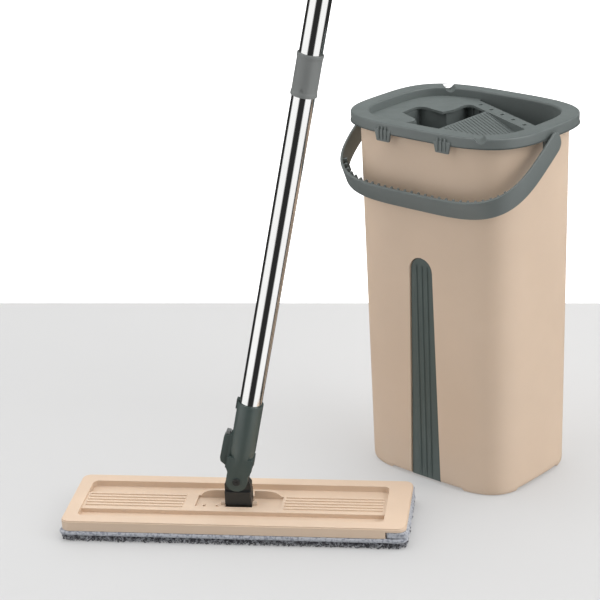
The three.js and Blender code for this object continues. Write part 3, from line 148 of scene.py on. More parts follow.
class MopBucketColours(PropertyGroup):
    """Colours of the finishes."""

    beige: FloatVectorProperty(
        name="Beige", description="Bucket and mop head", subtype="COLOR", size=3,
        default=(0.66, 0.51, 0.385), min=0, max=1)
    grey_green: FloatVectorProperty(
        name="Grey-green", description="Wringer and bail", subtype="COLOR", size=3,
        default=(0.138, 0.158, 0.154), min=0, max=1)
    dark_green: FloatVectorProperty(
        name="Dark grey-green", description="Front panel, yoke and grip", subtype="COLOR", size=3,
        default=(0.062, 0.086, 0.08), min=0, max=1)
    collar: FloatVectorProperty(
        name="Collar grey", description="Pole collars and hanging eye", subtype="COLOR", size=3,
        default=(0.19, 0.2, 0.196), min=0, max=1)
    tube: FloatVectorProperty(
        name="Tube", description="Polished steel tube", subtype="COLOR", size=3,
        default=(0.78, 0.78, 0.77), min=0, max=1)
    pad_knit: FloatVectorProperty(
        name="Pad knit", description="Pad backing", subtype="COLOR", size=3,
        default=(0.56, 0.58, 0.62), min=0, max=1)
    pad_pile: FloatVectorProperty(
        name="Pad pile", description="Dark yarn of the pile", subtype="COLOR", size=3,
        default=(0.06, 0.06, 0.07), min=0, max=1)


def sizes():
    return bpy.context.scene.mop_bucket_sizes


def colours():
    return bpy.context.scene.mop_bucket_colours


# ------------------------------------------------------------------ shader groups

def set_inputs(node, **values):
    """Gives sockets their constants by name, with _ for a space."""
    for label, value in values.items():
        node.inputs[label.replace("_", " ")].default_value = value
    return node


class Nodes:
    """A short way to lay out nodes and their links."""

    def __init__(self, tree):
        self.tree = tree

    def add(self, kind, **values):
        node = self.tree.nodes.new(kind)
        for name, value in values.items():
            setattr(node, name, value)
        return node

    def link(self, source, target):
        self.tree.links.new(source, target)

    def object_place(self):
        return self.add("ShaderNodeTexCoord").outputs["Object"]

    def noise(self, vector, scale, detail=3.0, roughness=0.5):
        node = set_inputs(self.add("ShaderNodeTexNoise"), Scale=scale, Detail=detail,
                          Roughness=roughness)
        self.link(vector, node.inputs["Vector"])
        return node.outputs["Fac"]

    def noise_at(self, vector, scale, detail):
        """Noise whose scale comes from a socket."""
        node = set_inputs(self.add("ShaderNodeTexNoise"), Detail=detail)
        self.link(vector, node.inputs["Vector"])
        self.link(scale, node.inputs["Scale"])
        return node.outputs["Fac"]

    def spread(self, value, from_low, from_high, to_low, to_high):
        node = set_inputs(self.add("ShaderNodeMapRange"), From_Min=from_low, From_Max=from_high,
                          To_Min=to_low, To_Max=to_high)
        self.link(value, node.inputs["Value"])
        return node.outputs["Result"]

    def fill(self, socket, value):
        """A constant goes on the socket and anything else is linked to it."""
        if isinstance(value, (int, float, tuple)):
            socket.default_value = value
        else:
            self.link(value, socket)

    def math(self, operation, first, second):
        node = self.add("ShaderNodeMath", operation=operation)
        for socket, value in zip(node.inputs, (first, second)):
            self.fill(socket, value)
        return node.outputs[0]

    def mix(self, share, first, second, blend="MIX"):
        node = self.add("ShaderNodeMix", data_type="RGBA", blend_type=blend)
        before, after = [s for s in node.inputs if s.type == "RGBA"]
        for socket, value in ((node.inputs[0], share), (before, first), (after, second)):
            self.fill(socket, value)
        return [s for s in node.outputs if s.type == "RGBA"][0]


SOCKET_KINDS = {"value": "NodeSocketFloat", "colour": "NodeSocketColor"}


def new_group(name, inputs, outputs):
    """A shader group with float or colour sockets: inputs are (name, kind, default)."""
    group = bpy.data.node_groups.new(name, "ShaderNodeTree")
    for label, kind, default in inputs:
        socket = group.interface.new_socket(name=label, in_out="INPUT",
                                            socket_type=SOCKET_KINDS[kind])
        socket.default_value = default
    for label, kind in outputs:
        group.interface.new_socket(name=label, in_out="OUTPUT", socket_type=SOCKET_KINDS[kind])
    nodes = Nodes(group)
    return group, nodes, nodes.add("NodeGroupInput"), nodes.add("NodeGroupOutput")


def moulded_surface_group():
    """Moulded plastic: a faint flow mottle, a fine spark-eroded grain, and rub marks
    that change the gloss. Height is grain plus a slow ripple, in the range 0 to 1."""
    group, nodes, given, result = new_group(
        "Moulded surface",
        [("Colour", "colour", (0.5, 0.5, 0.5, 1)), ("Mottle", "value", 0.05),
         ("Gloss roughness", "value", 0.4), ("Rub", "value", 0.1), ("Grain scale", "value", 1600)],
        [("Colour", "colour"), ("Roughness", "value"), ("Height", "value")])
    place = nodes.object_place()
    slow = nodes.noise(place, 9.0, 4.0, 0.55)
    shade = nodes.spread(slow, 0.3, 0.7, -1.0, 1.0)
    amount = nodes.math("MULTIPLY", shade, given.outputs["Mottle"])
    factor = nodes.math("ADD", amount, 1.0)
    scaled = nodes.add("ShaderNodeVectorMath", operation="SCALE")
    nodes.link(given.outputs["Colour"], scaled.inputs[0])
    nodes.link(factor, scaled.inputs["Scale"])
    nodes.link(scaled.outputs[0], result.inputs["Colour"])
    rub = nodes.spread(nodes.noise(place, 38.0, 5.0, 0.65), 0.42, 0.7, 0.0, 1.0)
    rub_amount = nodes.math("MULTIPLY", rub, given.outputs["Rub"])
    nodes.link(nodes.math("ADD", given.outputs["Gloss roughness"], rub_amount),
               result.inputs["Roughness"])
    grain = nodes.noise_at(place, given.outputs["Grain scale"], 2.0)
    ripple = nodes.math("MULTIPLY", nodes.noise(place, 14.0, 1.0), 0.6)
    nodes.link(nodes.math("ADD", grain, ripple), result.inputs["Height"])
    return group


def yarn_group():
    """Knitted or looped yarn: light and dark fibres mixed by a fine noise, and a fibre height."""
    group, nodes, given, result = new_group(
        "Yarn",
        [("Dark", "colour", (0.05, 0.05, 0.05, 1)), ("Light", "colour", (0.6, 0.6, 0.6, 1)),
         ("Fleck scale", "value", 260), ("Light share", "value", 0.5)],
        [("Colour", "colour"), ("Height", "value")])
    place = nodes.object_place()
    fleck = nodes.noise_at(place, given.outputs["Fleck scale"], 3.0)
    edge = nodes.add("ShaderNodeMapRange")
    nodes.link(fleck, edge.inputs["Value"])
    start = nodes.math("SUBTRACT", 0.92, given.outputs["Light share"])
    nodes.link(start, edge.inputs["From Min"])
    nodes.link(nodes.math("ADD", start, 0.12), edge.inputs["From Max"])
    blend = nodes.mix(edge.outputs["Result"], given.outputs["Dark"], given.outputs["Light"])
    nodes.link(blend, result.inputs["Colour"])
    fibre = nodes.noise(place, 2400.0, 2.0)
    nodes.link(fibre, result.inputs["Height"])
    return group


def shader_group(name, build):
    return bpy.data.node_groups.get(name) or build()


# ------------------------------------------------------------------ materials

def new_material(name):
    material = bpy.data.materials.new(name)
    material.use_nodes = True
    nodes = Nodes(material.node_tree)
    shader = material.node_tree.nodes["Principled BSDF"]
    return material, nodes, shader


def put_group(nodes, group, **values):
    return set_inputs(nodes.add("ShaderNodeGroup", node_tree=group), **values)


def finish(name):
    """Turns a function that lays out a finish's nodes into one that gives its material, which
    is built the first time."""
    def wrap(lay_out):
        def material():
            found = bpy.data.materials.get(name)
            if found:
                return found
            made, nodes, shader = new_material(name)
            lay_out(nodes, shader)
            return made
        return material
    return wrap


def bump(nodes, height, shader, strength, depth):
    node = set_inputs(nodes.add("ShaderNodeBump"), Strength=strength, Distance=depth)
    nodes.link(height, node.inputs["Height"])
    nodes.link(node.outputs["Normal"], shader.inputs["Normal"])


PLASTIC_GRAIN = 1500.0
PLASTIC_GRAIN_DEPTH = 0.04 * MM


def plastic(name, colour, roughness, mottle=0.035, rub=0.12):
    """Satin moulded plastic in one colour."""
    found = bpy.data.materials.get(name)
    if found:
        return found
    material, nodes, shader = new_material(name)
    surface = put_group(nodes, shader_group("Moulded surface", moulded_surface_group),
                        Colour=(*colour, 1), Mottle=mottle, Gloss_roughness=roughness, Rub=rub,
                        Grain_scale=PLASTIC_GRAIN)
    nodes.link(surface.outputs["Colour"], shader.inputs["Base Color"])
    nodes.link(surface.outputs["Roughness"], shader.inputs["Roughness"])
    shader.inputs["IOR"].default_value = 1.49
    bump(nodes, surface.outputs["Height"], shader, 0.35, PLASTIC_GRAIN_DEPTH)
    return material


def beige_plastic():
    material = plastic("Beige polypropylene", colours().beige, 0.42)
    set_inputs(material.node_tree.nodes["Principled BSDF"], Subsurface_Weight=0.06,
               Subsurface_Radius=(0.004, 0.003, 0.002))
    return material


def grey_plastic():
    return plastic("Grey-green polypropylene", colours().grey_green, 0.4, mottle=0.05)


def dark_plastic():
    return plastic("Dark grey-green plastic", colours().dark_green, 0.38, mottle=0.06)


def collar_plastic():
    return plastic("Collar grey plastic", colours().collar, 0.42, mottle=0.05)


def block_plastic():
    return plastic("Near-black nylon", (0.028, 0.031, 0.031), 0.45, mottle=0.05)


@finish("Polished steel")
def polished_steel(nodes, shader):
    """Polished tube: a mirror with faint lengthwise polishing and a few smears."""
    place = nodes.object_place()
    turn = nodes.add("ShaderNodeMapping")
    set_inputs(turn, Rotation=tuple(pole_euler()), Scale=(1.0, 1.0, 0.04))
    nodes.link(place, turn.inputs["Vector"])
    lines = nodes.noise(turn.outputs["Vector"], 900.0, 3.0, 0.6)
    smear = nodes.noise(place, 30.0, 4.0, 0.6)
    rough = nodes.math("ADD", nodes.spread(lines, 0.3, 0.7, 0.07, 0.13),
                       nodes.spread(smear, 0.5, 0.75, 0.0, 0.06))
    nodes.link(rough, shader.inputs["Roughness"])
    tint = nodes.mix(nodes.spread(smear, 0.4, 0.8, 0.0, 0.25), (*colours().tube, 1),
                     (0.62, 0.62, 0.61, 1))
    nodes.link(tint, shader.inputs["Base Color"])
    shader.inputs["Metallic"].default_value = 1.0
    bump(nodes, lines, shader, 0.05, 0.00002)


def pole_euler():
    """Turn that brings the shared frame's points into the pole's own axes."""
    return Matrix(POLE.axes.tolist()).to_euler()


@finish("Plated steel")
def zinc_steel(nodes, shader):
    """Bright plated screws with fine turned scratches."""
    place = nodes.object_place()
    cloud = nodes.noise(place, 700.0, 4.0, 0.6)
    nodes.link(nodes.spread(cloud, 0.3, 0.7, 0.22, 0.42), shader.inputs["Roughness"])
    nodes.link(nodes.mix(cloud, (0.62, 0.63, 0.64, 1), (0.8, 0.8, 0.8, 1)),
               shader.inputs["Base Color"])
    shader.inputs["Metallic"].default_value = 1.0
    bump(nodes, cloud, shader, 0.1, 0.00003)


def soft_rubber():
    return plastic("Soft rubber", (0.03, 0.032, 0.032), 0.7, mottle=0.1, rub=0.15)


@finish("Hook tape")
def hook_tape(nodes, shader):
    """Hook tape: rows of tiny hooks as a fine grid of bumps, with painted shade: the colour is darker in the pits
    of the bumps and lighter on their ridges.
    """
    place = nodes.object_place()
    dots = nodes.add("ShaderNodeTexVoronoi")
    dots.inputs["Scale"].default_value = 700.0
    nodes.link(place, dots.inputs["Vector"])
    # painted shade: the colour follows the bump's height, darker in its pits and lighter on its ridges
    shade = nodes.mix(dots.outputs["Distance"], (0.01, 0.01, 0.012, 1), (0.05, 0.05, 0.055, 1))
    nodes.link(shade, shader.inputs["Base Color"])
    shader.inputs["Roughness"].default_value = 0.8
    bump(nodes, dots.outputs["Distance"], shader, 0.8, 0.0006)


@finish("Knitted backing")
def knit_cloth(nodes, shader):
    """Light knitted backing: courses and wales as crossed waves, flecked with grey yarn. Painted shade darkens the
    colour where the weave is low, in its hollows.
    """
    knit = colours().pad_knit
    surface = put_group(nodes, shader_group("Yarn", yarn_group), Dark=(0.3, 0.32, 0.37, 1),
                        Light=(*knit, 1), Fleck_scale=420.0, Light_share=0.52)
    place = nodes.object_place()
    turn = nodes.add("ShaderNodeMapping")
    turn.inputs["Rotation"].default_value = (0, 0, -HEAD_TURN)
    nodes.link(place, turn.inputs["Vector"])
    courses = nodes.add("ShaderNodeTexWave", bands_direction="X")
    wales = nodes.add("ShaderNodeTexWave", bands_direction="Z")
    for wave in (courses, wales):
        set_inputs(wave, Scale=260.0, Distortion=0.6)
        nodes.link(turn.outputs["Vector"], wave.inputs["Vector"])
    weave = nodes.math("MULTIPLY", courses.outputs["Fac"], wales.outputs["Fac"])
    height = nodes.math("ADD", weave, nodes.math("MULTIPLY", surface.outputs["Height"], 0.4))
    # painted shade: the colour is darkened where the weave is low, in the hollows between courses and wales,
    # following the bump's height
    shade = nodes.mix(weave, (0.72, 0.72, 0.74, 1), (1, 1, 1, 1))
    nodes.link(nodes.mix(1.0, surface.outputs["Colour"], shade, "MULTIPLY"),
               shader.inputs["Base Color"])
    set_inputs(shader, Roughness=0.92, Sheen_Weight=0.25)
    bump(nodes, height, shader, 0.7, 0.0005)


@finish("Looped pile")
def pile_yarn(nodes, shader):
    """Looped microfibre, dark yarn flecked with pale grey."""
    surface = put_group(nodes, shader_group("Yarn", yarn_group), Dark=(*colours().pad_pile, 1),
                        Light=(0.36, 0.37, 0.4, 1), Fleck_scale=300.0, Light_share=0.46)
    nodes.link(surface.outputs["Colour"], shader.inputs["Base Color"])
    set_inputs(shader, Roughness=0.95, Sheen_Weight=0.3)
    bump(nodes, surface.outputs["Height"], shader, 0.8, 0.0006)


# ------------------------------------------------------------------ mesh tools

class Surface:
    """Collects grids of points, each with its faces, into one mesh."""

    def __init__(self):
        self.points = []
        self.faces = []
        self.count = 0

    def grid(self, points, close_u=False, close_v=False, cap_start=False, cap_end=False):
        """points is (u, v, 3). Quads join neighbours; close_u and close_v join last to first,
        and a cap is one flat face over the first or last row of a grid closed in v."""
        rows, columns = points.shape[:2]
        number = np.arange(rows * columns).reshape(rows, columns) + self.count
        near = number if close_u else number[:-1]
        far = np.roll(number, -1, 0) if close_u else number[1:]
        if close_v:
            quads = (near, np.roll(near, -1, 1), np.roll(far, -1, 1), far)
        else:
            quads = (near[:, :-1], near[:, 1:], far[:, 1:], far[:, :-1])
        faces = np.stack([part.ravel() for part in quads], 1).tolist()
        if cap_start:
            faces.append(number[0][::-1].tolist())
        if cap_end:
            faces.append(number[-1].tolist())
        self.turn_outward(points.reshape(-1, 3), faces)
        self.points.append(points.reshape(-1, 3))
        self.faces.extend(faces)
        self.count += rows * columns
        return self

    def turn_outward(self, points, faces):
        """Flips the faces where the volume they enclose comes out negative."""
        volume = 0.0
        for size in {len(face) for face in faces}:
            ring = np.array([f for f in faces if len(f) == size]) - self.count
            corner = points[ring]
            middle = corner.mean(1)
            ahead = np.roll(corner, -1, 1)
            volume += np.einsum("ij,ikj->", middle, np.cross(corner, ahead))
        if volume < 0:
            for face in faces:
                face.reverse()

    def piece(self, name, material, body, slot, replaces=(), crease=40.0):
        mesh = bpy.data.meshes.new(name)
        mesh.from_pydata(np.concatenate(self.points).tolist(), [], self.faces)
        mesh.validate()
        return finish_piece(mesh, name, material, body, replaces, crease)


def add_object(name, data):
    """A new object in the scene, at the origin."""
    item = bpy.data.objects.new(name, data)
    bpy.context.scene.collection.objects.link(item)
    return item


def finish_piece(mesh, name, material, body, replaces=(), crease=40.0):
    mesh.materials.append(material)
    mesh.shade_smooth()
    mesh.set_sharp_from_angle(angle=math.radians(crease))
    piece = add_object(name, mesh)
    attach(piece, body)
    if replaces:
        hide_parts(*replaces)
    return piece


def oval(half_x, half_y, roundness, turns):
    """Rounded-square ring by its polar radius: (|cos/a|^n + |sin/b|^n)^(-1/n) at each turn."""
    c, s = np.cos(turns), np.sin(turns)
    radius = (np.abs(c / half_x) ** roundness + np.abs(s / half_y) ** roundness) ** (-1 / roundness)
    return radius * c, radius * s


def turned(profile, steps=96):
    """Profile of (radius, height) points carried round the Z axis, as a grid (height, turn)."""
    profile = np.asarray(profile, float)
    turns = np.linspace(0, 2 * np.pi, steps, endpoint=False)
    x = profile[:, :1] * np.cos(turns)
    y = profile[:, :1] * np.sin(turns)
    z = np.repeat(profile[:, 1:], steps, 1)
    return np.stack([x, y, z], -1)


def rounded_profile(corners, radius, steps=4):
    """Closed outline with each corner replaced by an arc: a quadratic curve that leaves and
    meets the sides at the radius, or at a third of a shorter side."""
    corners = np.asarray(corners, float)
    before = np.roll(corners, 1, 0) - corners
    after = np.roll(corners, -1, 0) - corners
    length_before = np.linalg.norm(before, axis=1, keepdims=True)
    length_after = np.linalg.norm(after, axis=1, keepdims=True)
    start = corners + before / length_before * np.minimum(radius, length_before / 3)
    end = corners + after / length_after * np.minimum(radius, length_after / 3)
    t = np.linspace(0, 1, steps)[None, :, None]
    curve = ((1 - t) ** 2 * start[:, None] + 2 * t * (1 - t) * corners[:, None]
             + t ** 2 * end[:, None])
    return curve.reshape(-1, corners.shape[1])


def merged_copy(node):
    """The node's solid with its doubles merged and flat neighbours joined."""
    shape = bmesh.new()
    shape.from_mesh(NODES[node].data)
    bmesh.ops.remove_doubles(shape, verts=shape.verts, dist=0.00002)
    bmesh.ops.dissolve_limit(shape, angle_limit=math.radians(0.6), verts=shape.verts,
                             edges=shape.edges)
    return shape


def eased_copy(node, material, body, edge, crease=28.0, segments=2):
    """A node's own shape with every sharp edge eased by a small bevel."""
    shape = merged_copy(node)
    mesh = bpy.data.meshes.new(f"{node}_moulded")
    shape.to_mesh(mesh)
    shape.free()
    piece = finish_piece(mesh, f"{node}_moulded", material, body, (node,), crease)
    ease_edges(piece, edge, segments)
    return piece


def ease_edges(piece, edge, segments=2):
    bevel = piece.modifiers.new("Eased edges", "BEVEL")
    bevel.width = edge
    bevel.segments = segments
    bevel.limit_method = "ANGLE"
    bevel.angle_limit = math.radians(32)
    bevel.harden_normals = True
    bevel.use_clamp_overlap = True


# ------------------------------------------------------------------ bucket

BODY_ROUNDNESS = 3.9
BODY_BASE_SHRINK = (4 * MM, 3.5 * MM)     # base half sizes under the top half sizes
FOOT_LIFT = 2.5 * MM
FOOT_REACH = (48 * MM, 36.8 * MM)
BODY_FLOOR = 5 * MM
BODY_COLUMNS = 420
PANEL_COLUMN = 16 * MM                    # the columns inside this follow the arch
PANEL_REACH = 40 * MM
PANEL_RECESS = 3.6 * MM
PANEL_COLUMNS = 34
PANEL_GAP = 0.3 * MM
ARCH_RADIUS = 13.9 * MM
ARCH_TIP = 0.5 * MM
POCKET_HALF = 22 * MM                     # the recess as it stands out of the inner skin
POCKET_TOP = 262 * MM
FOOT_RAMP = 3 * MM
BASE_RINGS = ((60 * MM, FOOT_LIFT), (26 * MM, FOOT_LIFT), (7 * MM, 0.0), (2.4 * MM, 0.0))
BASE_ROUNDING = (4.5 * MM, 2.0 * MM)      # height and depth


def body_half_sizes(z):
    """Half sizes of the bucket's outside at heights z, tapering evenly to the base."""
    low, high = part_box("bucket_body")
    share = np.asarray(z, float) / high.z
    half_x = (high.x - low.x) / 2 - BODY_BASE_SHRINK[0] * (1 - share)
    half_y = (high.y - low.y) / 2 - BODY_BASE_SHRINK[1] * (1 - share)
    return half_x, half_y


def panel_half(z):
    """Half width of the arched recess at heights z: straight sides, then a round top."""
    _, high = BUCKET.span("front_panel")
    base_half = high[0] + PANEL_GAP
    top = high[2] + PANEL_GAP
    shoulder = top - ARCH_RADIUS
    straight = base_half + (ARCH_RADIUS - base_half) * z / shoulder
    arch = np.sqrt(np.clip(ARCH_RADIUS ** 2 - np.clip(z - shoulder, 0, None) ** 2, 0, None))
    return np.where(z < shoulder, straight, arch), top, shoulder


def body_rows():
    """Heights of the rows: even up to the arch, then even in angle round it."""
    top_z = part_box("bucket_body")[1].z
    _, top, shoulder = panel_half(np.zeros(1))
    straight = np.concatenate([[0.8 * MM, 2.2 * MM, 5 * MM, 9 * MM],
                               np.linspace(14 * MM, shoulder, 26)])
    arch = shoulder + ARCH_RADIUS * np.sin(np.linspace(0.06, 1.0, 18) * np.pi / 2)
    above = np.concatenate([[top + 0.35 * MM], top + np.array([3, 9, 18, 30]) * MM,
                            np.linspace(top + 45 * MM, top_z - 1.2 * MM, 12),
                            [top_z - 0.4 * MM, top_z]])
    return np.concatenate([straight, arch, above]), top


def outside_rows():
    """The bucket's outer skin. Columns near the front follow the arch of the recess: their X is
    stretched so that one column lies on its edge; inside it the skin steps in."""
    rows, top = body_rows()
    turns = np.linspace(0, 2 * np.pi, BODY_COLUMNS, endpoint=False) + np.pi / 2
    half_x, half_y = body_half_sizes(rows)
    x, y = oval(half_x[:, None], half_y[:, None], BODY_ROUNDNESS, turns[None])
    front = (y[0] < 0) & (np.abs(x[0]) < PANEL_REACH)
    index = np.nonzero(front)[0][np.argsort(x[0][front])]
    outer = (len(index) - PANEL_COLUMNS) // 2
    flat = np.linspace(-1, 1, len(index) - 2 * outer)
    nominal = np.concatenate([
        np.linspace(-PANEL_REACH, -PANEL_COLUMN - PANEL_GAP, outer), flat * PANEL_COLUMN,
        np.linspace(PANEL_COLUMN + PANEL_GAP, PANEL_REACH, outer)])
    width, _, _ = panel_half(rows)
    above = rows > top
    width = np.where(above, ARCH_TIP + (rows - top) * 0.25, np.maximum(width, ARCH_TIP))
    width = np.minimum(width, np.where(above, PANEL_COLUMN, 1.0))
    known = np.array([-PANEL_REACH, -PANEL_COLUMN, PANEL_COLUMN, PANEL_REACH])
    for row, half in enumerate(width):
        x[row, index] = np.interp(nominal, known, [-PANEL_REACH, -half, half, PANEL_REACH])
    share = np.abs(x / half_x[:, None]) ** BODY_ROUNDNESS
    y[:, index] = -(half_y[:, None] * (1 - share) ** (1 / BODY_ROUNDNESS))[:, index]
    inside = np.zeros(len(turns), bool)
    inside[index] = np.abs(nominal) <= PANEL_COLUMN + 1e-6
    recess = inside[None] & ~above[:, None]
    y = np.where(recess, y + PANEL_RECESS, y)
    return np.stack([x, y, np.repeat(rows[:, None], len(turns), 1)], -1), turns


def foot_lift(x, y):
    """Height of the underside: nought on the four corner feet, lifted between them."""
    along_x = np.clip((FOOT_REACH[0] - np.abs(x)) / FOOT_RAMP, 0, 1)
    along_y = np.clip((FOOT_REACH[1] - np.abs(y)) / FOOT_RAMP, 0, 1)
    return FOOT_LIFT * np.maximum(along_x, along_y)


def body_ring(z, inset, turns):
    """A ring of the bucket's section at height z, drawn in by the inset."""
    half_x, half_y = body_half_sizes(z)
    return oval(half_x - inset, half_y - inset, BODY_ROUNDNESS, turns)


def bucket_body():
    """Outer skin, rounded top edge, inner skin and floor as one closed surface of rings."""
    wall = sizes().body_wall
    outside, turns = outside_rows()
    top_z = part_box("bucket_body")[1].z
    base = []
    for inset, z in BASE_RINGS:
        x, y = body_ring(0.0, inset, turns)
        lift = foot_lift(x, y) if z < FOOT_LIFT else 0.0
        base.append(np.stack([x, y, np.full_like(x, z) + lift], -1))
    lower = outside.copy()
    fade = np.clip(1 - outside[:, :, 2] / (10 * MM), 0, 1)
    lower[:, :, 2] += foot_lift(outside[0, :, 0], outside[0, :, 1])[None] * fade
    height, depth = BASE_ROUNDING
    pull = np.clip(1 - outside[:, :, 2] / height, 0, 1) ** 2 * depth
    lower[:, :, :2] *= 1 - (pull / np.linalg.norm(outside[:, :, :2], axis=2))[..., None]
    inner_rows = [(top_z + 0.1 * MM, wall * 0.5), (top_z - 0.4 * MM, wall)]
    inner_rows += [(z, wall) for z in np.linspace(top_z - 20 * MM, BODY_FLOOR + 10 * MM, 14)]
    inner_rows += [(BODY_FLOOR + 3 * MM, wall + 1 * MM), (BODY_FLOOR, wall + 5 * MM),
                   (BODY_FLOOR, wall + 30 * MM)]
    inner = []
    for z, inset in inner_rows:
        x, y = body_ring(z, inset, turns)
        pocket = (np.abs(x) < POCKET_HALF) & (y < 0) & (z < POCKET_TOP)
        y = np.where(pocket, y + PANEL_RECESS, y)
        inner.append(np.stack([x, y, np.full_like(x, min(z, top_z))], -1))
    grid = np.concatenate([np.array(base), lower, np.array(inner)])
    surface = Surface().grid(BUCKET.out(grid), close_v=True, cap_start=True, cap_end=True)
    surface.piece("bucket_body_moulded", beige_plastic(), "bucket", "beige_plastic",
                  ("bucket_body",), crease=38)


PANEL_TIP = 13.6 * MM                     # the arched end of the strip, down from its top
PANEL_RIB_SPAN = 20 * MM
PANEL_RIB_HALF = 1.15 * MM
PANEL_RIB_SOFTNESS = 0.16 * MM
PANEL_RIB_HEIGHT = 1.0 * MM
PANEL_FACE = 1.55 * MM                    # behind the bucket's skin
PANEL_BACK = 3.3 * MM
PANEL_EDGE_DROP = 0.5 * MM


def front_panel():
    """Arched strip whose columns fan out to its edge, raised into upright ribs:
    rib height is a rounded step of the distance from each rib's middle."""
    low, high = BUCKET.span("front_panel")
    tip = high[2] - PANEL_TIP
    arch = np.sin(np.linspace(0.05, 1, 22) * np.pi / 2)
    rows = np.concatenate([np.linspace(low[2], tip, 40), tip + (PANEL_TIP - 0.05 * MM) * arch])
    half, _, _ = panel_half(rows)
    half = np.maximum(half - 0.35 * MM, 0.3 * MM)[:, None]
    across = np.linspace(-1, 1, 91)
    x = half * across
    z = np.repeat(rows[:, None], len(across), 1)
    half_x, half_y = body_half_sizes(z)
    face = -half_y * (1 - np.abs(x / half_x) ** BODY_ROUNDNESS) ** (1 / BODY_ROUNDNESS)
    count = sizes().panel_ribs
    pitch = PANEL_RIB_SPAN / max(count, 1)
    lift = np.zeros_like(x)
    for rib in range(count):
        middle = (rib - (count - 1) / 2) * pitch
        past_edge = np.abs(x - middle) - PANEL_RIB_HALF
        lift = np.maximum(lift, 1 / (1 + np.exp(past_edge / PANEL_RIB_SOFTNESS)))
    to_side = half - np.abs(x)
    lift = lift * np.clip(to_side / (1.2 * MM) - 0.4, 0, 1)
    lift = lift * np.clip((high[2] - 7 * MM - z) / (3 * MM), 0, 1)
    lift = lift * np.clip((z - 6 * MM) / (3 * MM), 0, 1)
    edge = PANEL_EDGE_DROP * np.clip(1 - to_side / (0.7 * MM), 0, 1) ** 2
    y = face + PANEL_FACE - lift * PANEL_RIB_HEIGHT + edge
    back = np.stack([x, face + PANEL_BACK, z], -1)[:, ::-1]
    grid = np.concatenate([np.stack([x, y, z], -1), back], 1)
    surface = Surface().grid(BUCKET.out(grid), close_v=True, cap_start=True, cap_end=True)
    surface.piece("front_panel_ribbed", dark_plastic(), "bucket", "dark_plastic",
                  ("front_panel",), crease=35)


# ------------------------------------------------------------------ wringer frame

RIM_OUTER = (108 * MM, 83.2 * MM, 3.4)
RIM_INNER = (90.8 * MM, 67.5 * MM, 3.6)
SKIRT_DEPTH = 10.5 * MM
INNER_DEPTH = 40 * MM
NOTCHES = ((73.6 * MM, -71.7 * MM), (-66 * MM, 63 * MM))
NOTCH_RADIUS = 5.2 * MM
RIM_COLUMNS = 560
RIM_WALL = 2.2 * MM
RIM_ROOF = 2.8 * MM
RIM_CROWN = 0.35 * MM                     # the top face is hollowed by this
NOTCH_WALL = 2.4 * MM


def rim_ring():
    """Closed profile carried round the rounded square. share runs from the outer skirt, 0, to
    the opening, 1, and blends the two ovals; below the rounded notches the top is pressed in."""
    width = RIM_OUTER[0] - RIM_INNER[0]
    skirt = FRAME_TOP - SKIRT_DEPTH
    bottom = FRAME_TOP - INNER_DEPTH
    top = FRAME_TOP
    under_roof = top - RIM_ROOF
    corners = [(0.3 * MM, skirt), (0.0, top), (width + 0.3 * MM, top), (width - 0.3 * MM, bottom),
               (width - RIM_WALL, bottom), (width - 2.0 * MM, under_roof),
               (RIM_WALL, under_roof), (2.4 * MM, skirt)]
    outline = rounded_profile(corners, sizes().rim_rounding, 6)
    hollow = np.clip(1 - np.abs(outline[:, 0] / width - 0.5) * 2, 0, 1)
    outline[:, 1] -= RIM_CROWN * hollow * (outline[:, 1] > top - 0.1 * MM)
    dense = densify(outline, 2.5 * MM)
    turns = np.linspace(0, 2 * np.pi, RIM_COLUMNS, endpoint=False)
    share = (dense[:, 0] / width)[:, None]
    half_x, half_y, roundness = (outer + (inner - outer) * share
                                 for outer, inner in zip(RIM_OUTER, RIM_INNER))
    x, y = oval(half_x, half_y, roundness, turns[None])
    z = np.repeat(dense[:, 1:], len(turns), 1)
    under = (dense[:, 1] < top - 2 * MM)[:, None]
    pressed = notch_height(x, y) - np.where(under, NOTCH_WALL, 0)
    z = np.where(z > top - 6 * MM, np.minimum(z, pressed), z)
    grid = np.stack([x, y, z], -1)
    return Surface().grid(BUCKET.out(grid), close_u=True, close_v=True)


def densify(outline, spacing):
    """Extra points along the long sides of a closed outline, evenly spaced."""
    ahead = np.roll(outline, -1, 0)
    parts = []
    for start, end in zip(outline, ahead):
        count = max(1, int(np.linalg.norm(end - start) / spacing))
        t = np.linspace(0, 1, count, endpoint=False)[:, None]
        parts.append(start + (end - start) * t)
    return np.concatenate(parts)


def notch_height(x, y):
    """Height of the half-round grooves across the rim; far from them it is above the rim."""
    height = np.full_like(x, FRAME_TOP + 1)
    for place_x, place_y in NOTCHES:
        length = math.hypot(place_x, place_y)
        along = (x * place_x + y * place_y) / length
        off = np.abs(x * place_y - y * place_x) / length
        inside = (along > 0) & (off < NOTCH_RADIUS)
        depth = np.sqrt(np.clip(NOTCH_RADIUS ** 2 - off ** 2, 0, None))
        height = np.where(inside, np.minimum(height, FRAME_TOP - depth), height)
    return height


DECK_BORDER = 0.9                         # inner_value where the deck meets the rim
DECK_STRETCH = 0.009


def inner_value(x, y):
    """Below 1 inside the rim's opening, 1 on its wall and above 1 outside."""
    half_x, half_y, roundness = RIM_INNER
    return abs(x / half_x) ** roundness + abs(y / half_y) ** roundness


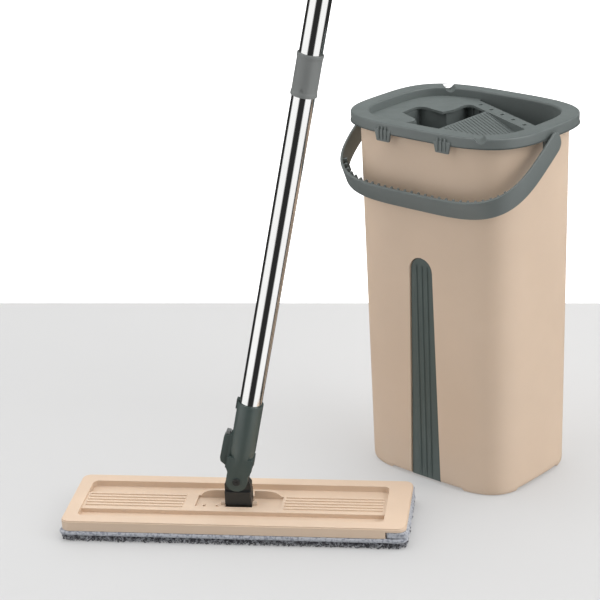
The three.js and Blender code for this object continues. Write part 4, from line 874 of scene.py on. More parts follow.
def wringer_deck():
    """The deck, board, bridge and bosses: the node's solid without its rim, and its outer
    border carried a little into the rim's inner wall."""
    shape = merged_copy("wringer_frame")
    origin = BUCKET.origin
    doomed = []
    for face in shape.faces:
        middle = face.calc_center_median()
        value = inner_value(middle.x - origin[0], middle.y - origin[1])
        if value > DECK_BORDER and rim_face(face, middle, value):
            doomed.append(face)
    bmesh.ops.delete(shape, geom=doomed, context="FACES")
    for vertex in shape.verts:
        x, y = vertex.co.x - origin[0], vertex.co.y - origin[1]
        if inner_value(x, y) > DECK_BORDER and vertex.co.z < FRAME_TOP - 6 * MM:
            vertex.co.x += x * DECK_STRETCH
            vertex.co.y += y * DECK_STRETCH
    mesh = bpy.data.meshes.new("wringer_deck_ribbed")
    shape.to_mesh(mesh)
    shape.free()
    deck = finish_piece(mesh, "wringer_deck_ribbed", grey_plastic(), "wringer",
                        ("wringer_frame",), 25)
    ease_edges(deck, 0.5 * MM)


def rim_face(face, middle, value):
    """True for a face of the rim, the skirt, its ribs, tabs and lugs."""
    if value > 1.02:
        return True
    upright = abs(face.normal.z) < 0.3
    return upright or middle.z > FRAME_TOP - 5 * MM


def box_block(surface, place, low, high, rounding, taper=0.0):
    """Upright rounded block: a rounded rectangle, narrowing downwards by taper on each side."""
    x0, y0, z0 = low
    x1, y1, z1 = high
    heights = [z0, z0 + rounding * 0.4, z0 + rounding, z1 - rounding, z1 - rounding * 0.4, z1]
    insets = [rounding, rounding * 0.35, 0, 0, rounding * 0.35, rounding]
    rings = []
    for z, inset in zip(heights, insets):
        pull = taper * (z1 - z) / (z1 - z0) + inset
        corners = [(x0 + pull, y0 + inset), (x1 - pull, y0 + inset), (x1 - pull, y1 - inset),
                   (x0 + pull, y1 - inset)]
        flat = rounded_profile(corners, rounding, 5)
        rings.append(np.column_stack([flat, np.full(len(flat), z)]))
    surface.grid(place.out(np.array(rings)), close_v=True, cap_start=True, cap_end=True)


TAB_MIDDLES = (-36.2 * MM, 36.2 * MM)
TAB_HALF = 10.3 * MM
TAB_THICKNESS = 2.6 * MM
TAB_DROP = 8 * MM
TAB_RIBS = (-4.5 * MM, 0, 4.5 * MM)
TAB_RIB_HALF = 0.75 * MM
TAB_RIB_THICKNESS = 1.2 * MM
LUG_HALF = 8.5 * MM
LUG_THICKNESS = 4 * MM
LUG_INSET = 4.6 * MM
LUG_DROP = 25 * MM


def rim_details(surface):
    """Clip tabs with their three upright ribs, and the lugs that carry the bail's pins."""
    skirt = FRAME_TOP - SKIRT_DEPTH
    half_x, half_y, _ = RIM_OUTER
    for side in (-1, 1):
        y_low = half_y - TAB_THICKNESS if side > 0 else -half_y
        rib_low = half_y - 0.3 * MM if side > 0 else -half_y - 0.9 * MM
        for middle in TAB_MIDDLES:
            box_block(surface, BUCKET, (middle - TAB_HALF, y_low, skirt - TAB_DROP),
                      (middle + TAB_HALF, y_low + TAB_THICKNESS, skirt + 4 * MM), 0.7 * MM,
                      TAB_THICKNESS)
            for shift in TAB_RIBS:
                rib = middle + shift
                box_block(surface, BUCKET, (rib - TAB_RIB_HALF, rib_low, skirt - 6 * MM),
                          (rib + TAB_RIB_HALF, rib_low + TAB_RIB_THICKNESS, FRAME_TOP - 3.5 * MM),
                          0.35 * MM)
    pivot_y = JOINTS["bail_swing"]["pos_m"][1] - BUCKET.origin[1]
    for side in (-1, 1):
        x_low = half_x - LUG_INSET if side > 0 else -half_x + LUG_INSET - LUG_THICKNESS
        box_block(surface, BUCKET, (x_low, pivot_y - LUG_HALF, FRAME_TOP - LUG_DROP),
                  (x_low + LUG_THICKNESS, pivot_y + LUG_HALF, FRAME_TOP - 2 * MM), 0.8 * MM)


def wringer_frame():
    surface = rim_ring()
    rim_details(surface)
    surface.piece("wringer_rim_moulded", grey_plastic(), "wringer", "grey_plastic", crease=35)
    wringer_deck()


def slot_parts():
    edge = sizes().moulded_edge
    eased_copy("slot_guide", grey_plastic(), "wringer", edge)
    eased_copy("scraper_bar", grey_plastic(), "wringer", edge)
    eased_copy("scraper_lip", soft_rubber(), "wringer", 0.25 * MM)
    for node in sorted(NODES):
        if "_screw_" in node:
            eased_copy(node, zinc_steel(), "wringer", 0.12 * MM, crease=35)


# ------------------------------------------------------------------ bail

BAIL_SPAN = 111.9 * MM
BAIL_REACH = 98 * MM
BAIL_ROUNDNESS = 4.13
BAIL_LEAN = math.tan(math.radians(11.3))
BAIL_WIDTH = 19.6 * MM
BAIL_THICKNESS = 2.8 * MM
BAIL_PIN_RADIUS = 4 * MM
BAIL_PIN_LENGTH = 11.5 * MM
BAIL_RIB_REACH = 5.4 * MM
BAIL_RIB_HALF = 1.1 * MM


def bail_place():
    """The bail's own axes: X across the bucket, Y from the pivots to the grip."""
    pivot = np.array(JOINTS["bail_swing"]["pos_m"])
    points = node_points("bail_handle")
    reach = points[np.abs(points[:, 0] - pivot[0]) < 30 * MM].mean(0) - pivot
    reach[0] = 0
    return Place(pivot, (1, 0, 0), np.cross((1, 0, 0), reach))


def bail_line(turns):
    """Middle line of the strap, a rounded half ring, and its outward direction in its plane."""
    c, s = np.cos(turns), np.sin(turns)
    n = BAIL_ROUNDNESS
    x = BAIL_SPAN * np.sign(c) * np.abs(c) ** (2 / n)
    y = BAIL_REACH * np.abs(s) ** (2 / n)
    out_x = np.sign(c) * np.abs(x / BAIL_SPAN) ** (n - 1) / BAIL_SPAN
    out_y = np.abs(y / BAIL_REACH) ** (n - 1) / BAIL_REACH
    length = np.hypot(out_x, out_y)
    return x, y, out_x / length, out_y / length


def even_turns(count):
    """Turns whose points are evenly spaced along the strap."""
    fine = np.linspace(0, np.pi, 6001)
    x, y, _, _ = bail_line(fine)
    length = np.concatenate([[0], np.cumsum(np.hypot(np.diff(x), np.diff(y)))])
    return np.interp(np.linspace(0, length[-1], count), length, fine)


def strap_points(place, turns, outline, sign):
    """A flat outline (outwards, across) carried along the strap and leaned out of the square."""
    x, y, out_x, out_y = bail_line(turns)
    outwards = outline[:, 0][None]
    across = outline[:, 1][None]
    px = x[:, None] + out_x[:, None] * outwards
    py = y[:, None] + out_y[:, None] * outwards + sign * across * BAIL_LEAN
    pz = np.repeat(across, len(turns), 0)
    return place.out(np.stack([px, py, pz], -1))


def bail_handle():
    place = bail_place()
    sign = lean_sign(place)
    half, thick = BAIL_WIDTH / 2, BAIL_THICKNESS / 2
    outline = rounded_profile([(-thick, -half), (thick, -half), (thick, half), (-thick, half)],
                              0.9 * MM, 4)
    strap = strap_points(place, even_turns(260), outline, sign)
    near, far = (round_end(place, outline, sign, side) for side in (1, -1))
    surface = Surface().grid(np.concatenate([near[::-1], strap, far]), close_v=True,
                             cap_start=True, cap_end=True)
    add_strap_ribs(surface, place, sign)
    add_pins(surface, place)
    surface.piece("bail_handle_ribbed", grey_plastic(), "bail", "grey_plastic",
                  ("bail_handle",), crease=35)


def lean_sign(place):
    """Which way the strap leans in these axes, read from the grip's own corners."""
    points = (node_points("bail_handle") - place.origin) @ place.axes.T
    grip = points[(np.abs(points[:, 0]) < 60 * MM) & (points[:, 1] > BAIL_REACH - 4 * MM)]
    slope = np.polyfit(grip[:, 2], grip[:, 1], 1)[0]
    return 1.0 if slope > 0 else -1.0


def add_strap_ribs(surface, place, sign):
    """Cross ribs on the inner side of the grip: thin rounded bars from edge to edge."""
    turns = even_turns(sizes().bail_ribs * 2 - 9)[9:-9]
    x, y, out_x, out_y = bail_line(turns)
    flat = rounded_profile([(-BAIL_RIB_REACH, -BAIL_RIB_HALF), (0, -BAIL_RIB_HALF),
                            (0, BAIL_RIB_HALF), (-BAIL_RIB_REACH, BAIL_RIB_HALF)], 0.5 * MM, 4)
    heights = np.array([-7.8, -7.3, 7.9, 8.4]) * MM
    pulls = np.array([0.7, 1.0, 1.0, 0.7])
    for i in range(len(turns)):
        rings = []
        for height, pull in zip(heights, pulls):
            outwards, along = flat[:, 0] * pull, flat[:, 1] * pull
            px = x[i] + out_x[i] * outwards - out_y[i] * along
            py = y[i] + out_y[i] * outwards + out_x[i] * along + sign * height * BAIL_LEAN
            rings.append(np.column_stack([px, py, np.full_like(px, height)]))
        surface.grid(place.out(np.array(rings)), close_v=True, cap_start=True, cap_end=True)


def round_end(place, outline, sign, side):
    """Sections past a pivot whose width follows a circle: across is scaled by the cosine and the
    section moves on by the sine of the turn."""
    turns = np.linspace(0.06, 0.485 * np.pi, 14)[:, None]
    outwards, across = outline[:, 0][None], outline[:, 1][None] * np.cos(turns)
    px = side * (BAIL_SPAN + outwards * np.clip(1.6 * np.cos(turns), 0, 1))
    py = sign * across * BAIL_LEAN - BAIL_WIDTH / 2 * np.sin(turns)
    return place.out(np.stack([px, py, across], -1))


def add_pins(surface, place):
    """Pins that turn in the rim's lugs."""
    for side in (-1, 1):
        across = Place(place.out([side * BAIL_SPAN, 0, 0]), place.axes[1], place.axes[0] * side)
        pin = [(BAIL_PIN_RADIUS - 0.5 * MM, -BAIL_PIN_LENGTH),
               (BAIL_PIN_RADIUS, 0.5 * MM - BAIL_PIN_LENGTH), (BAIL_PIN_RADIUS, 0)]
        surface.grid(across.out(turned(pin, 40)), close_v=True, cap_start=True, cap_end=True)


# ------------------------------------------------------------------ mop head and pad

def head_plate():
    eased_copy("head_plate", beige_plastic(), "mop_head", 0.6 * MM,
               crease=30, segments=3)


def pad_half_sizes():
    low, high = HEAD.span("pad_backing")
    return (high[0] - low[0]) / 2, (high[1] - low[1]) / 2, low[2], high[2]


def pad_ring(half_x, half_y, corner, count):
    """Rounded rectangle with even points, as (count, 2)."""
    corners = [(-half_x, -half_y), (half_x, -half_y), (half_x, half_y), (-half_x, half_y)]
    outline = rounded_profile(corners, corner, 14)
    closed = np.vstack([outline, outline[:1]])
    length = np.concatenate([[0], np.cumsum(np.linalg.norm(np.diff(closed, axis=0), axis=1))])
    at = np.linspace(0, length[-1], count, endpoint=False)
    return np.column_stack([np.interp(at, length, closed[:, axis]) for axis in (0, 1)])


PAD_POINTS = 900                          # round each ring
BINDING_BULGE = 1.6 * MM
PILE_BULGE = 2.0 * MM
PILE_CORNER = 8 * MM


def outward_of(ring):
    """Unit vectors from the pad's middle to the ring's points."""
    return ring / np.linalg.norm(ring, axis=1, keepdims=True)


def pad_backing():
    """Knitted backing with a bound edge: flat top, an edge that bulges as a half ellipse and
    ripples a little along its length, and a flat underside."""
    half_x, half_y, low, high = pad_half_sizes()
    middle, thick = (low + high) / 2, (high - low) / 2
    rows = []
    phase = np.arange(PAD_POINTS) / PAD_POINTS * 2 * np.pi
    ripple = 0.35 * MM * np.sin(phase * 47) + 0.25 * MM * np.sin(phase * 83 + 1.3)
    profile = [(40 * MM, thick), (8 * MM, thick), (5.2 * MM, thick), (4.8 * MM, thick - 0.5 * MM),
               (4.4 * MM, thick)]
    profile += [(BINDING_BULGE * (1 - math.cos(a)), thick * math.cos(b)) for a, b in
                zip(np.linspace(1.5, 0.0, 6), np.linspace(0.2, 1.57, 6))]
    profile += [(BINDING_BULGE * (1 - math.cos(a)), -thick * math.cos(b)) for a, b in
                zip(np.linspace(0.3, 1.5, 5), np.linspace(1.3, 0.2, 5))]
    profile += [(6 * MM, -thick), (40 * MM, -thick)]
    for inset, z in profile:
        corner = max(9 * MM - inset, 1.5 * MM)
        ring = pad_ring(half_x - inset, half_y - inset, corner, PAD_POINTS)
        wave = ripple * (1 if inset < 8 * MM else 0)
        ring = ring + outward_of(ring) * wave[:, None]
        rows.append(np.column_stack([ring, middle + z + wave * 0.5]))
    surface = Surface().grid(HEAD.out(np.array(rows)), close_v=True, cap_start=True, cap_end=True)
    pad = surface.piece("pad_backing_knitted", knit_cloth(), "mop_head", "pad_knit",
                        ("pad_backing",), crease=60)
    pocket = eased_copy("pad_pocket", knit_cloth(), "mop_head", 1.2 * MM, segments=3)


def pad_pile():
    """Pile: a soft core whose edge is lumpy, with rows of yarn loops standing out of it."""
    low, high = HEAD.span("pad_pile")
    half_x, half_y = (high[0] - low[0]) / 2 - 2.2 * MM, (high[1] - low[1]) / 2 - 2.2 * MM
    core_low, core_high = low[2] + 1.2 * MM, high[2]
    middle, thick = (core_low + core_high) / 2, (core_high - core_low) / 2
    dice = np.random.default_rng(11)
    rows = []
    for angle in np.linspace(-np.pi / 2, np.pi / 2, 9):
        inset = PILE_BULGE * (1 - math.cos(angle))
        ring = pad_ring(half_x - inset, half_y - inset, PILE_CORNER, PAD_POINTS)
        lumps = dice.normal(0, 0.25 * MM, PAD_POINTS)
        ring = ring + outward_of(ring) * lumps[:, None]
        height = np.full(PAD_POINTS, middle + thick * math.sin(angle))
        rows.append(np.column_stack([ring, height]))
    surface = Surface().grid(HEAD.out(np.array(rows)), close_v=True, cap_start=True, cap_end=True)
    pile = surface.piece("pad_pile_core", pile_yarn(), "mop_head", "pad_pile", ("pad_pile",), 60)
    loops = pile_loops(half_x, half_y, low[2], high[2], dice)


def loop_grid(middles, outward, along, size, tilt):
    """Many little yarn loops at once: each is a bent tube, a half ring of radius size whose
    round section shrinks to its ends. Returns (loop, ring, side, 3)."""
    bend = np.linspace(-0.55 * np.pi, 0.55 * np.pi, 6)
    side = np.linspace(0, 2 * np.pi, 5, endpoint=False)
    up = np.array([0.0, 0.0, 1.0])
    reach = size[:, None, None] * np.cos(bend)[None, :, None]
    lift = size[:, None, None] * np.sin(bend)[None, :, None] * 0.8
    sideways = along * np.cos(tilt)[:, None] + up * np.sin(tilt)[:, None]
    centre = middles[:, None] + outward[:, None] * reach + sideways[:, None] * lift
    thick = size[:, None, None, None] * 0.42
    radial = (outward[:, None] * np.cos(bend)[None, :, None]
              + sideways[:, None] * np.sin(bend)[None, :, None])
    other = np.cross(outward, sideways)
    ring = (radial[:, :, None] * np.cos(side)[None, None, :, None]
            + other[:, None, None] * np.sin(side)[None, None, :, None])
    return centre[:, :, None] + ring * thick


def pile_loops(half_x, half_y, low, high, dice):
    """Rows of loops round the pad's edge and a few rows in from it underneath."""
    count = sizes().pile_loops
    around = int(count * 2 * (1 + half_y / half_x))
    loop_rows = []
    for row in range(sizes().pile_rows):
        share = (row + 0.5) / sizes().pile_rows
        angle = (share - 0.55) * np.pi * 0.95
        inset = PILE_BULGE * (1 - math.cos(angle))
        ring = pad_ring(half_x - inset, half_y - inset, PILE_CORNER, around)
        outward = edge_normals(ring)
        height = (low + high) / 2 + (high - low) * 0.40 * math.sin(angle)
        scattered = ring + dice.normal(0, 0.5 * MM, ring.shape)
        middles = np.column_stack([scattered, np.full(around, height)])
        middles[:, 2] += dice.normal(0, 0.35 * MM, around)
        loop_rows.append((middles, outward, dice.uniform(1.0, 1.7, around) * MM))
    vertices, faces, total = [], [], 0
    for middles, outward, size in loop_rows:
        out3 = np.column_stack([outward, np.zeros(len(outward))])
        along3 = np.column_stack([-outward[:, 1], outward[:, 0], np.zeros(len(outward))])
        tilt = dice.uniform(-1.3, 1.3, len(size))
        grid = loop_grid(middles, out3, along3, size, tilt)
        grid[..., 2] = np.clip(grid[..., 2], low + 0.2 * MM, high + 0.6 * MM)
        loops, rings, sides = grid.shape[:3]
        number = np.arange(loops * rings * sides).reshape(loops, rings, sides) + total
        near, far = number[:, :-1], number[:, 1:]
        quads = np.stack([near, np.roll(near, -1, 2), np.roll(far, -1, 2), far], -1)
        faces.extend(quads.reshape(-1, 4).tolist())
        faces.extend(number[:, 0, ::-1].tolist())
        faces.extend(number[:, -1].tolist())
        vertices.append(HEAD.out(grid.reshape(-1, 3)))
        total += number.size
    mesh = bpy.data.meshes.new("pad_pile_loops")
    mesh.from_pydata(np.concatenate(vertices).tolist(), [], faces)
    mesh.validate()
    recalculated = bmesh.new()
    recalculated.from_mesh(mesh)
    bmesh.ops.recalc_face_normals(recalculated, faces=recalculated.faces)
    recalculated.to_mesh(mesh)
    recalculated.free()
    return finish_piece(mesh, "pad_pile_loops", pile_yarn(), "mop_head", (), 80)


def edge_normals(ring):
    """Outward unit vectors of a closed ring, from each point's neighbours."""
    ahead = np.roll(ring, -1, 0) - np.roll(ring, 1, 0)
    normal = np.column_stack([ahead[:, 1], -ahead[:, 0]])
    return normal / np.linalg.norm(normal, axis=1, keepdims=True)


def hook_strips():
    for node in ("hook_strip_front", "hook_strip_back"):
        eased_copy(node, hook_tape(), "mop_head", 0.2 * MM)


# ------------------------------------------------------------------ swivel, yoke and latch

def swivel_parts():
    edge = sizes().moulded_edge
    eased_copy("tilt_pin", zinc_steel(), "mop_head", 0.2 * MM)
    eased_copy("swivel_block", block_plastic(), "swivel", edge)
    eased_copy("yoke", dark_plastic(), "pole", 0.5 * MM, crease=30, segments=3)
    eased_copy("swing_screw", block_plastic(), "pole", 0.2 * MM)
    eased_copy("swing_nut", zinc_steel(), "pole", 0.2 * MM)
    eased_copy("latch_button", dark_plastic(), "latch", 0.8 * MM, segments=3)
    eased_copy("latch_tip", collar_plastic(), "latch", 0.4 * MM)


# ------------------------------------------------------------------ pole

TUBE_WALL = 0.7 * MM
TUBE_CHAMFER = 0.3 * MM
COLLAR_BORE = 11.3 * MM
COLLAR_WAIST = 0.45 * MM
DIMPLE_RADIUS = 1.6 * MM
DIMPLE_DEPTH = 0.8 * MM
GRIP_RING_PITCH = 4.5 * MM
GRIP_RING_DEPTH = 0.55 * MM


def pole_tubes():
    for node in ("pole_tube_1", "pole_tube_2", "pole_tube_3"):
        low, high = POLE.span(node)
        r = high[0]
        z0, z1 = low[2], high[2]
        profile = [(r - TUBE_WALL, z0), (r - TUBE_CHAMFER, z0), (r, z0 + TUBE_CHAMFER)]
        profile += [(r, z) for z in np.linspace(z0 + 2 * MM, z1 - 2 * MM, 24)]
        profile += [(r, z1 - TUBE_CHAMFER), (r - TUBE_CHAMFER, z1), (r - TUBE_WALL, z1)]
        grid = POLE.out(turned(profile))
        surface = Surface().grid(grid, close_u=True, close_v=True)
        surface.piece(f"{node}_polished", polished_steel(), "pole", "tube_steel", (node,), 40)


def pole_collars():
    """Collars: a turned sleeve with rounded lips, a shallow waist and a moulding dimple."""
    for node in ("pole_collar_1", "pole_collar_2"):
        low, high = POLE.span(node)
        r, z0, z1 = high[1], low[2], high[2]
        waist = r - COLLAR_WAIST
        corners = [(COLLAR_BORE, z0), (r, z0), (r, z0 + 3 * MM), (waist, z0 + 4.5 * MM),
                   (waist, z1 - 4.5 * MM), (r, z1 - 3 * MM), (r, z1), (COLLAR_BORE, z1)]
        outline = densify(rounded_profile(corners, 0.8 * MM, 5), 1.2 * MM)
        grid = turned(outline, 120)
        dimple_z = z0 + 6.5 * MM
        off = np.hypot(grid[..., 0] + 1 * MM, grid[..., 2] - dimple_z)
        outside = np.hypot(grid[..., 0], grid[..., 1]) > COLLAR_BORE + 0.2 * MM
        press = (off < DIMPLE_RADIUS) & (grid[..., 1] < 0) & outside
        grid[..., 1] = np.where(press, grid[..., 1] + DIMPLE_DEPTH, grid[..., 1])
        surface = Surface().grid(POLE.out(grid), close_u=True, close_v=True)
        surface.piece(f"{node}_turned", collar_plastic(), "pole", "collar_plastic", (node,), 40)


def pole_top():
    """Grip with raised rings, joint plugs and the hanging eye."""
    low, high = POLE.span("pole_grip")
    r, z0, z1 = high[0], low[2], high[2]
    neck = r - 1 * MM
    corners = [(COLLAR_BORE, z0), (neck, z0), (r, z0 + 6 * MM), (neck, z0 + 26 * MM),
               (neck, z1 - 36 * MM), (r, z1 - 8 * MM), (r - 1.6 * MM, z1), (6 * MM, z1),
               (6 * MM, z1 - 8 * MM), (COLLAR_BORE, z1 - 8 * MM)]
    outline = densify(rounded_profile(corners, 1.5 * MM, 6), 0.9 * MM)
    height = outline[:, 1]
    ringed = (outline[:, 0] > r - 2 * MM) & (height > z0 + 24 * MM) & (height < z1 - 34 * MM)
    wave = 0.5 + 0.5 * np.cos((height - z0) / GRIP_RING_PITCH * 2 * np.pi)
    outline[:, 0] -= np.where(ringed, GRIP_RING_DEPTH * wave, 0)
    surface = Surface().grid(POLE.out(turned(outline)), close_u=True, close_v=True)
    surface.piece("pole_grip_ringed", dark_plastic(), "pole", "dark_plastic", ("pole_grip",), 50)
    eased_copy("hanging_eye", collar_plastic(), "pole", 0.9 * MM, segments=3)
    for node in ("joint_plug_1", "joint_plug_2"):
        eased_copy(node, dark_plastic(), "pole", 0.3 * MM)


# ------------------------------------------------------------------ stage

CAMERA_OFF_BUCKET = (1.1035, -1.4413, 0.8716)
CAMERA_TURN = 42.81
CAMERA_DROP = 20.81
CAMERA_ROLL = -2.5
CAMERA_LENS = 113.36
FLOOR_BACK = 2.2824
FLOOR_BACK_TURN = 83.0
ROOM_REACH = 12.0


def camera():
    data = bpy.data.cameras.new("Camera")
    data.lens = CAMERA_LENS
    data.sensor_width = 36
    data.clip_end = 50
    view = add_object("Camera", data)
    view.location = BUCKET.origin + np.array(CAMERA_OFF_BUCKET)
    look = Euler((math.radians(90 - CAMERA_DROP), 0, math.radians(CAMERA_TURN)), "XYZ").to_matrix()
    view.rotation_euler = (look @ Matrix.Rotation(math.radians(CAMERA_ROLL), 3, "Z")).to_euler()
    bpy.context.scene.camera = view
    bpy.context.scene.view_settings.view_transform = "Standard"


def stage_sheet(name, corners, colour, roughness, glow):
    """A plain sheet, kept out of reflections so that polished pieces show the lit room."""
    mesh = bpy.data.meshes.new(name)
    mesh.from_pydata([corner.tolist() for corner in corners], [], [(0, 1, 2, 3)])
    sheet = add_object(name, mesh)
    material, nodes, shader = new_material(name)
    cloud = nodes.noise(nodes.object_place(), 3.0, 2.0)
    dim = tuple(c * 0.985 for c in colour[:3]) + (1,)
    nodes.link(nodes.mix(cloud, dim, colour), shader.inputs["Base Color"])
    set_inputs(shader, Roughness=roughness, Emission_Color=(1, 1, 1, 1), Emission_Strength=glow)
    mesh.materials.append(material)
    sheet.visible_glossy = False
    return sheet


def surround(centre):
    """A white box round the whole room. Only the camera sees it, so it adds and takes no light,
    and the object stands against white from every side."""
    signs = [(x, y, z) for z in (-1, 1) for x, y in ((-1, -1), (1, -1), (1, 1), (-1, 1))]
    corners = (centre + ROOM_REACH * np.array(signs)).tolist()
    faces = [(0, 1, 2, 3), (4, 5, 6, 7), (0, 1, 5, 4), (1, 2, 6, 5), (2, 3, 7, 6), (3, 0, 4, 7)]
    mesh = bpy.data.meshes.new("studio_surround")
    mesh.from_pydata(corners, [], faces)
    box = add_object("studio_surround", mesh)
    material, _, shader = new_material("studio_surround")
    set_inputs(shader, Base_Color=(0.9, 0.9, 0.9, 1), Emission_Color=(1, 1, 1, 1),
               Emission_Strength=1.0)
    mesh.materials.append(material)
    for ray in ("diffuse", "glossy", "transmission", "volume_scatter", "shadow"):
        setattr(box, "visible_" + ray, False)


def area_light(name, position, aim, size, power):
    data = bpy.data.lights.new(name, "AREA")
    data.shape = "RECTANGLE"
    data.size = data.size_y = size
    data.energy = power
    lamp = add_object(name, data)
    lamp.location = position
    lamp.rotation_euler = (Vector(aim) - Vector(position)).to_track_quat("-Z", "Y").to_euler()


FLOOR_REACH = 9
FLOOR_NEAR = 6
FLOOR_COLOUR = (0.34, 0.34, 0.34, 1)
WALL_HEIGHT = 9.0
WALL_COLOUR = (0.8, 0.8, 0.8, 1)


def studio():
    """The floor, whose back edge is turned a little, and a glowing wall that stands on it."""
    centre = BUCKET.origin
    turn = math.radians(CAMERA_TURN)
    ahead = np.array([-math.sin(turn), math.cos(turn), 0.0])
    right = np.array([math.cos(turn), math.sin(turn), 0.0])
    eye = centre + np.array([CAMERA_OFF_BUCKET[0], CAMERA_OFF_BUCKET[1], 0.0])
    back = eye + ahead * FLOOR_BACK
    edge_turn = math.radians(FLOOR_BACK_TURN)
    edge = right * math.sin(edge_turn) - ahead * math.cos(edge_turn)
    near = eye - ahead * FLOOR_NEAR
    left_end, right_end = back - edge * FLOOR_REACH, back + edge * FLOOR_REACH
    floor = [near - right * FLOOR_REACH, near + right * FLOOR_REACH, right_end, left_end]
    stage_sheet("studio_floor", floor, FLOOR_COLOUR, 0.7, glow=0.27)
    up = np.array([0, 0, WALL_HEIGHT])
    wall = [left_end, right_end, right_end + up, left_end + up]
    glow_wall = stage_sheet("studio_wall", wall, WALL_COLOUR, 0.9, glow=0.9)
    glow_wall.visible_camera = False
    surround(centre)
    return centre, ahead, right


BRIGHT_SIDES = ((20.0, 84.0), (-106.0, -38.0))   # degrees round from the camera, right then left
SIDE_SOFTNESS = 5.0
WORLD_BRIGHT = 1.2
WORLD_DARK = 0.03


def studio_world(ahead, right):
    """Two bright upright bands, to the right and left of the camera, in a dark room: the share
    of brightness is a soft step of the turn of the direction away from the camera."""
    world = bpy.data.worlds.new("Studio")
    world.use_nodes = True
    nodes = Nodes(world.node_tree)
    look = nodes.add("ShaderNodeTexCoord").outputs["Generated"]
    parts = []
    for axis in (right, -ahead):
        dot = nodes.add("ShaderNodeVectorMath", operation="DOT_PRODUCT")
        dot.inputs[1].default_value = axis.tolist()
        nodes.link(look, dot.inputs[0])
        parts.append(dot.outputs["Value"])
    turn = nodes.math("MULTIPLY", nodes.math("ARCTAN2", *parts), 180 / math.pi)
    total = 0.0
    for low, high in BRIGHT_SIDES:
        rise = nodes.spread(turn, low - SIDE_SOFTNESS, low + SIDE_SOFTNESS, 0.0, 1.0)
        fall = nodes.spread(turn, high - SIDE_SOFTNESS, high + SIDE_SOFTNESS, 1.0, 0.0)
        total = nodes.math("ADD", nodes.math("MULTIPLY", rise, fall), total)
    background = world.node_tree.nodes["Background"]
    background.inputs["Color"].default_value = (1, 1, 1, 1)
    strength = nodes.spread(total, 0.0, 1.0, WORLD_DARK, WORLD_BRIGHT)
    nodes.link(strength, background.inputs["Strength"])
    bpy.context.scene.world = world


LIGHTS = (  # name, right, ahead and up of the bucket, side of the square, power
    ("Key", 2.3, -1.2, 1.9, 1.6, 26),
    ("Fill", -2.2, -2.2, 1.5, 2.0, 1.5),
    ("Top", 0.0, -0.2, 3.2, 2.4, 36),
)
AIM_HEIGHT = 0.25


def studio_light(centre, ahead, right):
    up = np.array([0, 0, 1.0])
    aim = (centre + up * AIM_HEIGHT).tolist()
    for name, to_right, forward, height, size, power in LIGHTS:
        position = centre + right * to_right + ahead * forward + up * height
        area_light(name, position.tolist(), aim, size, power)
    studio_world(ahead, right)


# ------------------------------------------------------------------ operators

class MOPBUCKET_OT_bucket(Operator):
    """Builds the bucket's body and the panel let into its front"""

    bl_idname = "mopbucket.bucket"
    bl_label = "Bucket body and panel"

    def execute(self, context):
        bucket_body()
        front_panel()
        return {"FINISHED"}


class MOPBUCKET_OT_wringer(Operator):
    """Builds the rim, the deck with its ribbed board, and the slot's parts"""

    bl_idname = "mopbucket.wringer"
    bl_label = "Wringer frame and slot"

    def execute(self, context):
        wringer_frame()
        slot_parts()
        return {"FINISHED"}


class MOPBUCKET_OT_bail(Operator):
    """Builds the bail handle with its ribs and pins"""

    bl_idname = "mopbucket.bail"
    bl_label = "Bail handle"

    def execute(self, context):
        bail_handle()
        return {"FINISHED"}


class MOPBUCKET_OT_head(Operator):
    """Builds the mop's head plate and its hook strips"""

    bl_idname = "mopbucket.head"
    bl_label = "Head plate"

    def execute(self, context):
        head_plate()
        hook_strips()
        return {"FINISHED"}


class MOPBUCKET_OT_pad(Operator):
    """Builds the pad's knitted backing and looped pile"""

    bl_idname = "mopbucket.pad"
    bl_label = "Pad"

    def execute(self, context):
        pad_backing()
        pad_pile()
        return {"FINISHED"}


class MOPBUCKET_OT_swivel(Operator):
    """Builds the swivel block, the yoke and its latch"""

    bl_idname = "mopbucket.swivel"
    bl_label = "Swivel and yoke"

    def execute(self, context):
        swivel_parts()
        return {"FINISHED"}


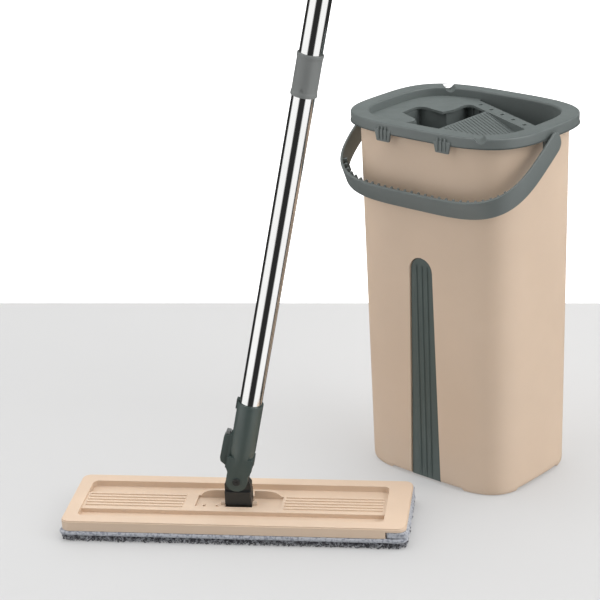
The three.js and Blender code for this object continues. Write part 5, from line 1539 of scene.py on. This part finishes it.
class MOPBUCKET_OT_pole(Operator):
    """Builds the pole's tubes, collars, grip and hanging eye"""

    bl_idname = "mopbucket.pole"
    bl_label = "Pole"

    def execute(self, context):
        pole_tubes()
        pole_collars()
        pole_top()
        return {"FINISHED"}


class MOPBUCKET_OT_stage(Operator):
    """Builds the floor, the wall, the white surround, the lights and the camera"""

    bl_idname = "mopbucket.stage"
    bl_label = "Stage"

    def execute(self, context):
        camera()
        studio_light(*studio())
        return {"FINISHED"}


OPERATORS = (
    MOPBUCKET_OT_bucket, MOPBUCKET_OT_wringer, MOPBUCKET_OT_bail, MOPBUCKET_OT_head,
    MOPBUCKET_OT_pad, MOPBUCKET_OT_swivel, MOPBUCKET_OT_pole, MOPBUCKET_OT_stage,
)


class MOPBUCKET_PT_panel(Panel):
    """Lists the pieces and their sizes and colours"""

    bl_idname = "MOPBUCKET_PT_panel"
    bl_label = "Mop and bucket"
    bl_space_type = "VIEW_3D"
    bl_region_type = "UI"
    bl_category = "Mop and bucket"

    def draw(self, context):
        layout = self.layout
        for group in (context.scene.mop_bucket_sizes, context.scene.mop_bucket_colours):
            for name in group.__annotations__:
                layout.prop(group, name)
        for operator in OPERATORS:
            layout.operator(operator.bl_idname)


CLASSES = (MopBucketSizes, MopBucketColours, *OPERATORS, MOPBUCKET_PT_panel)


def register():
    for cls in CLASSES:
        bpy.utils.register_class(cls)
    bpy.types.Scene.mop_bucket_sizes = bpy.props.PointerProperty(type=MopBucketSizes)
    bpy.types.Scene.mop_bucket_colours = bpy.props.PointerProperty(type=MopBucketColours)


def unregister():
    del bpy.types.Scene.mop_bucket_sizes
    del bpy.types.Scene.mop_bucket_colours
    for cls in reversed(CLASSES):
        bpy.utils.unregister_class(cls)


def main():
    register()
    bpy.ops.mopbucket.bucket()
    bpy.ops.mopbucket.wringer()
    bpy.ops.mopbucket.bail()
    bpy.ops.mopbucket.head()
    bpy.ops.mopbucket.pad()
    bpy.ops.mopbucket.swivel()
    bpy.ops.mopbucket.pole()
    bpy.ops.mopbucket.stage()


if __name__ == "__main__":
    main()
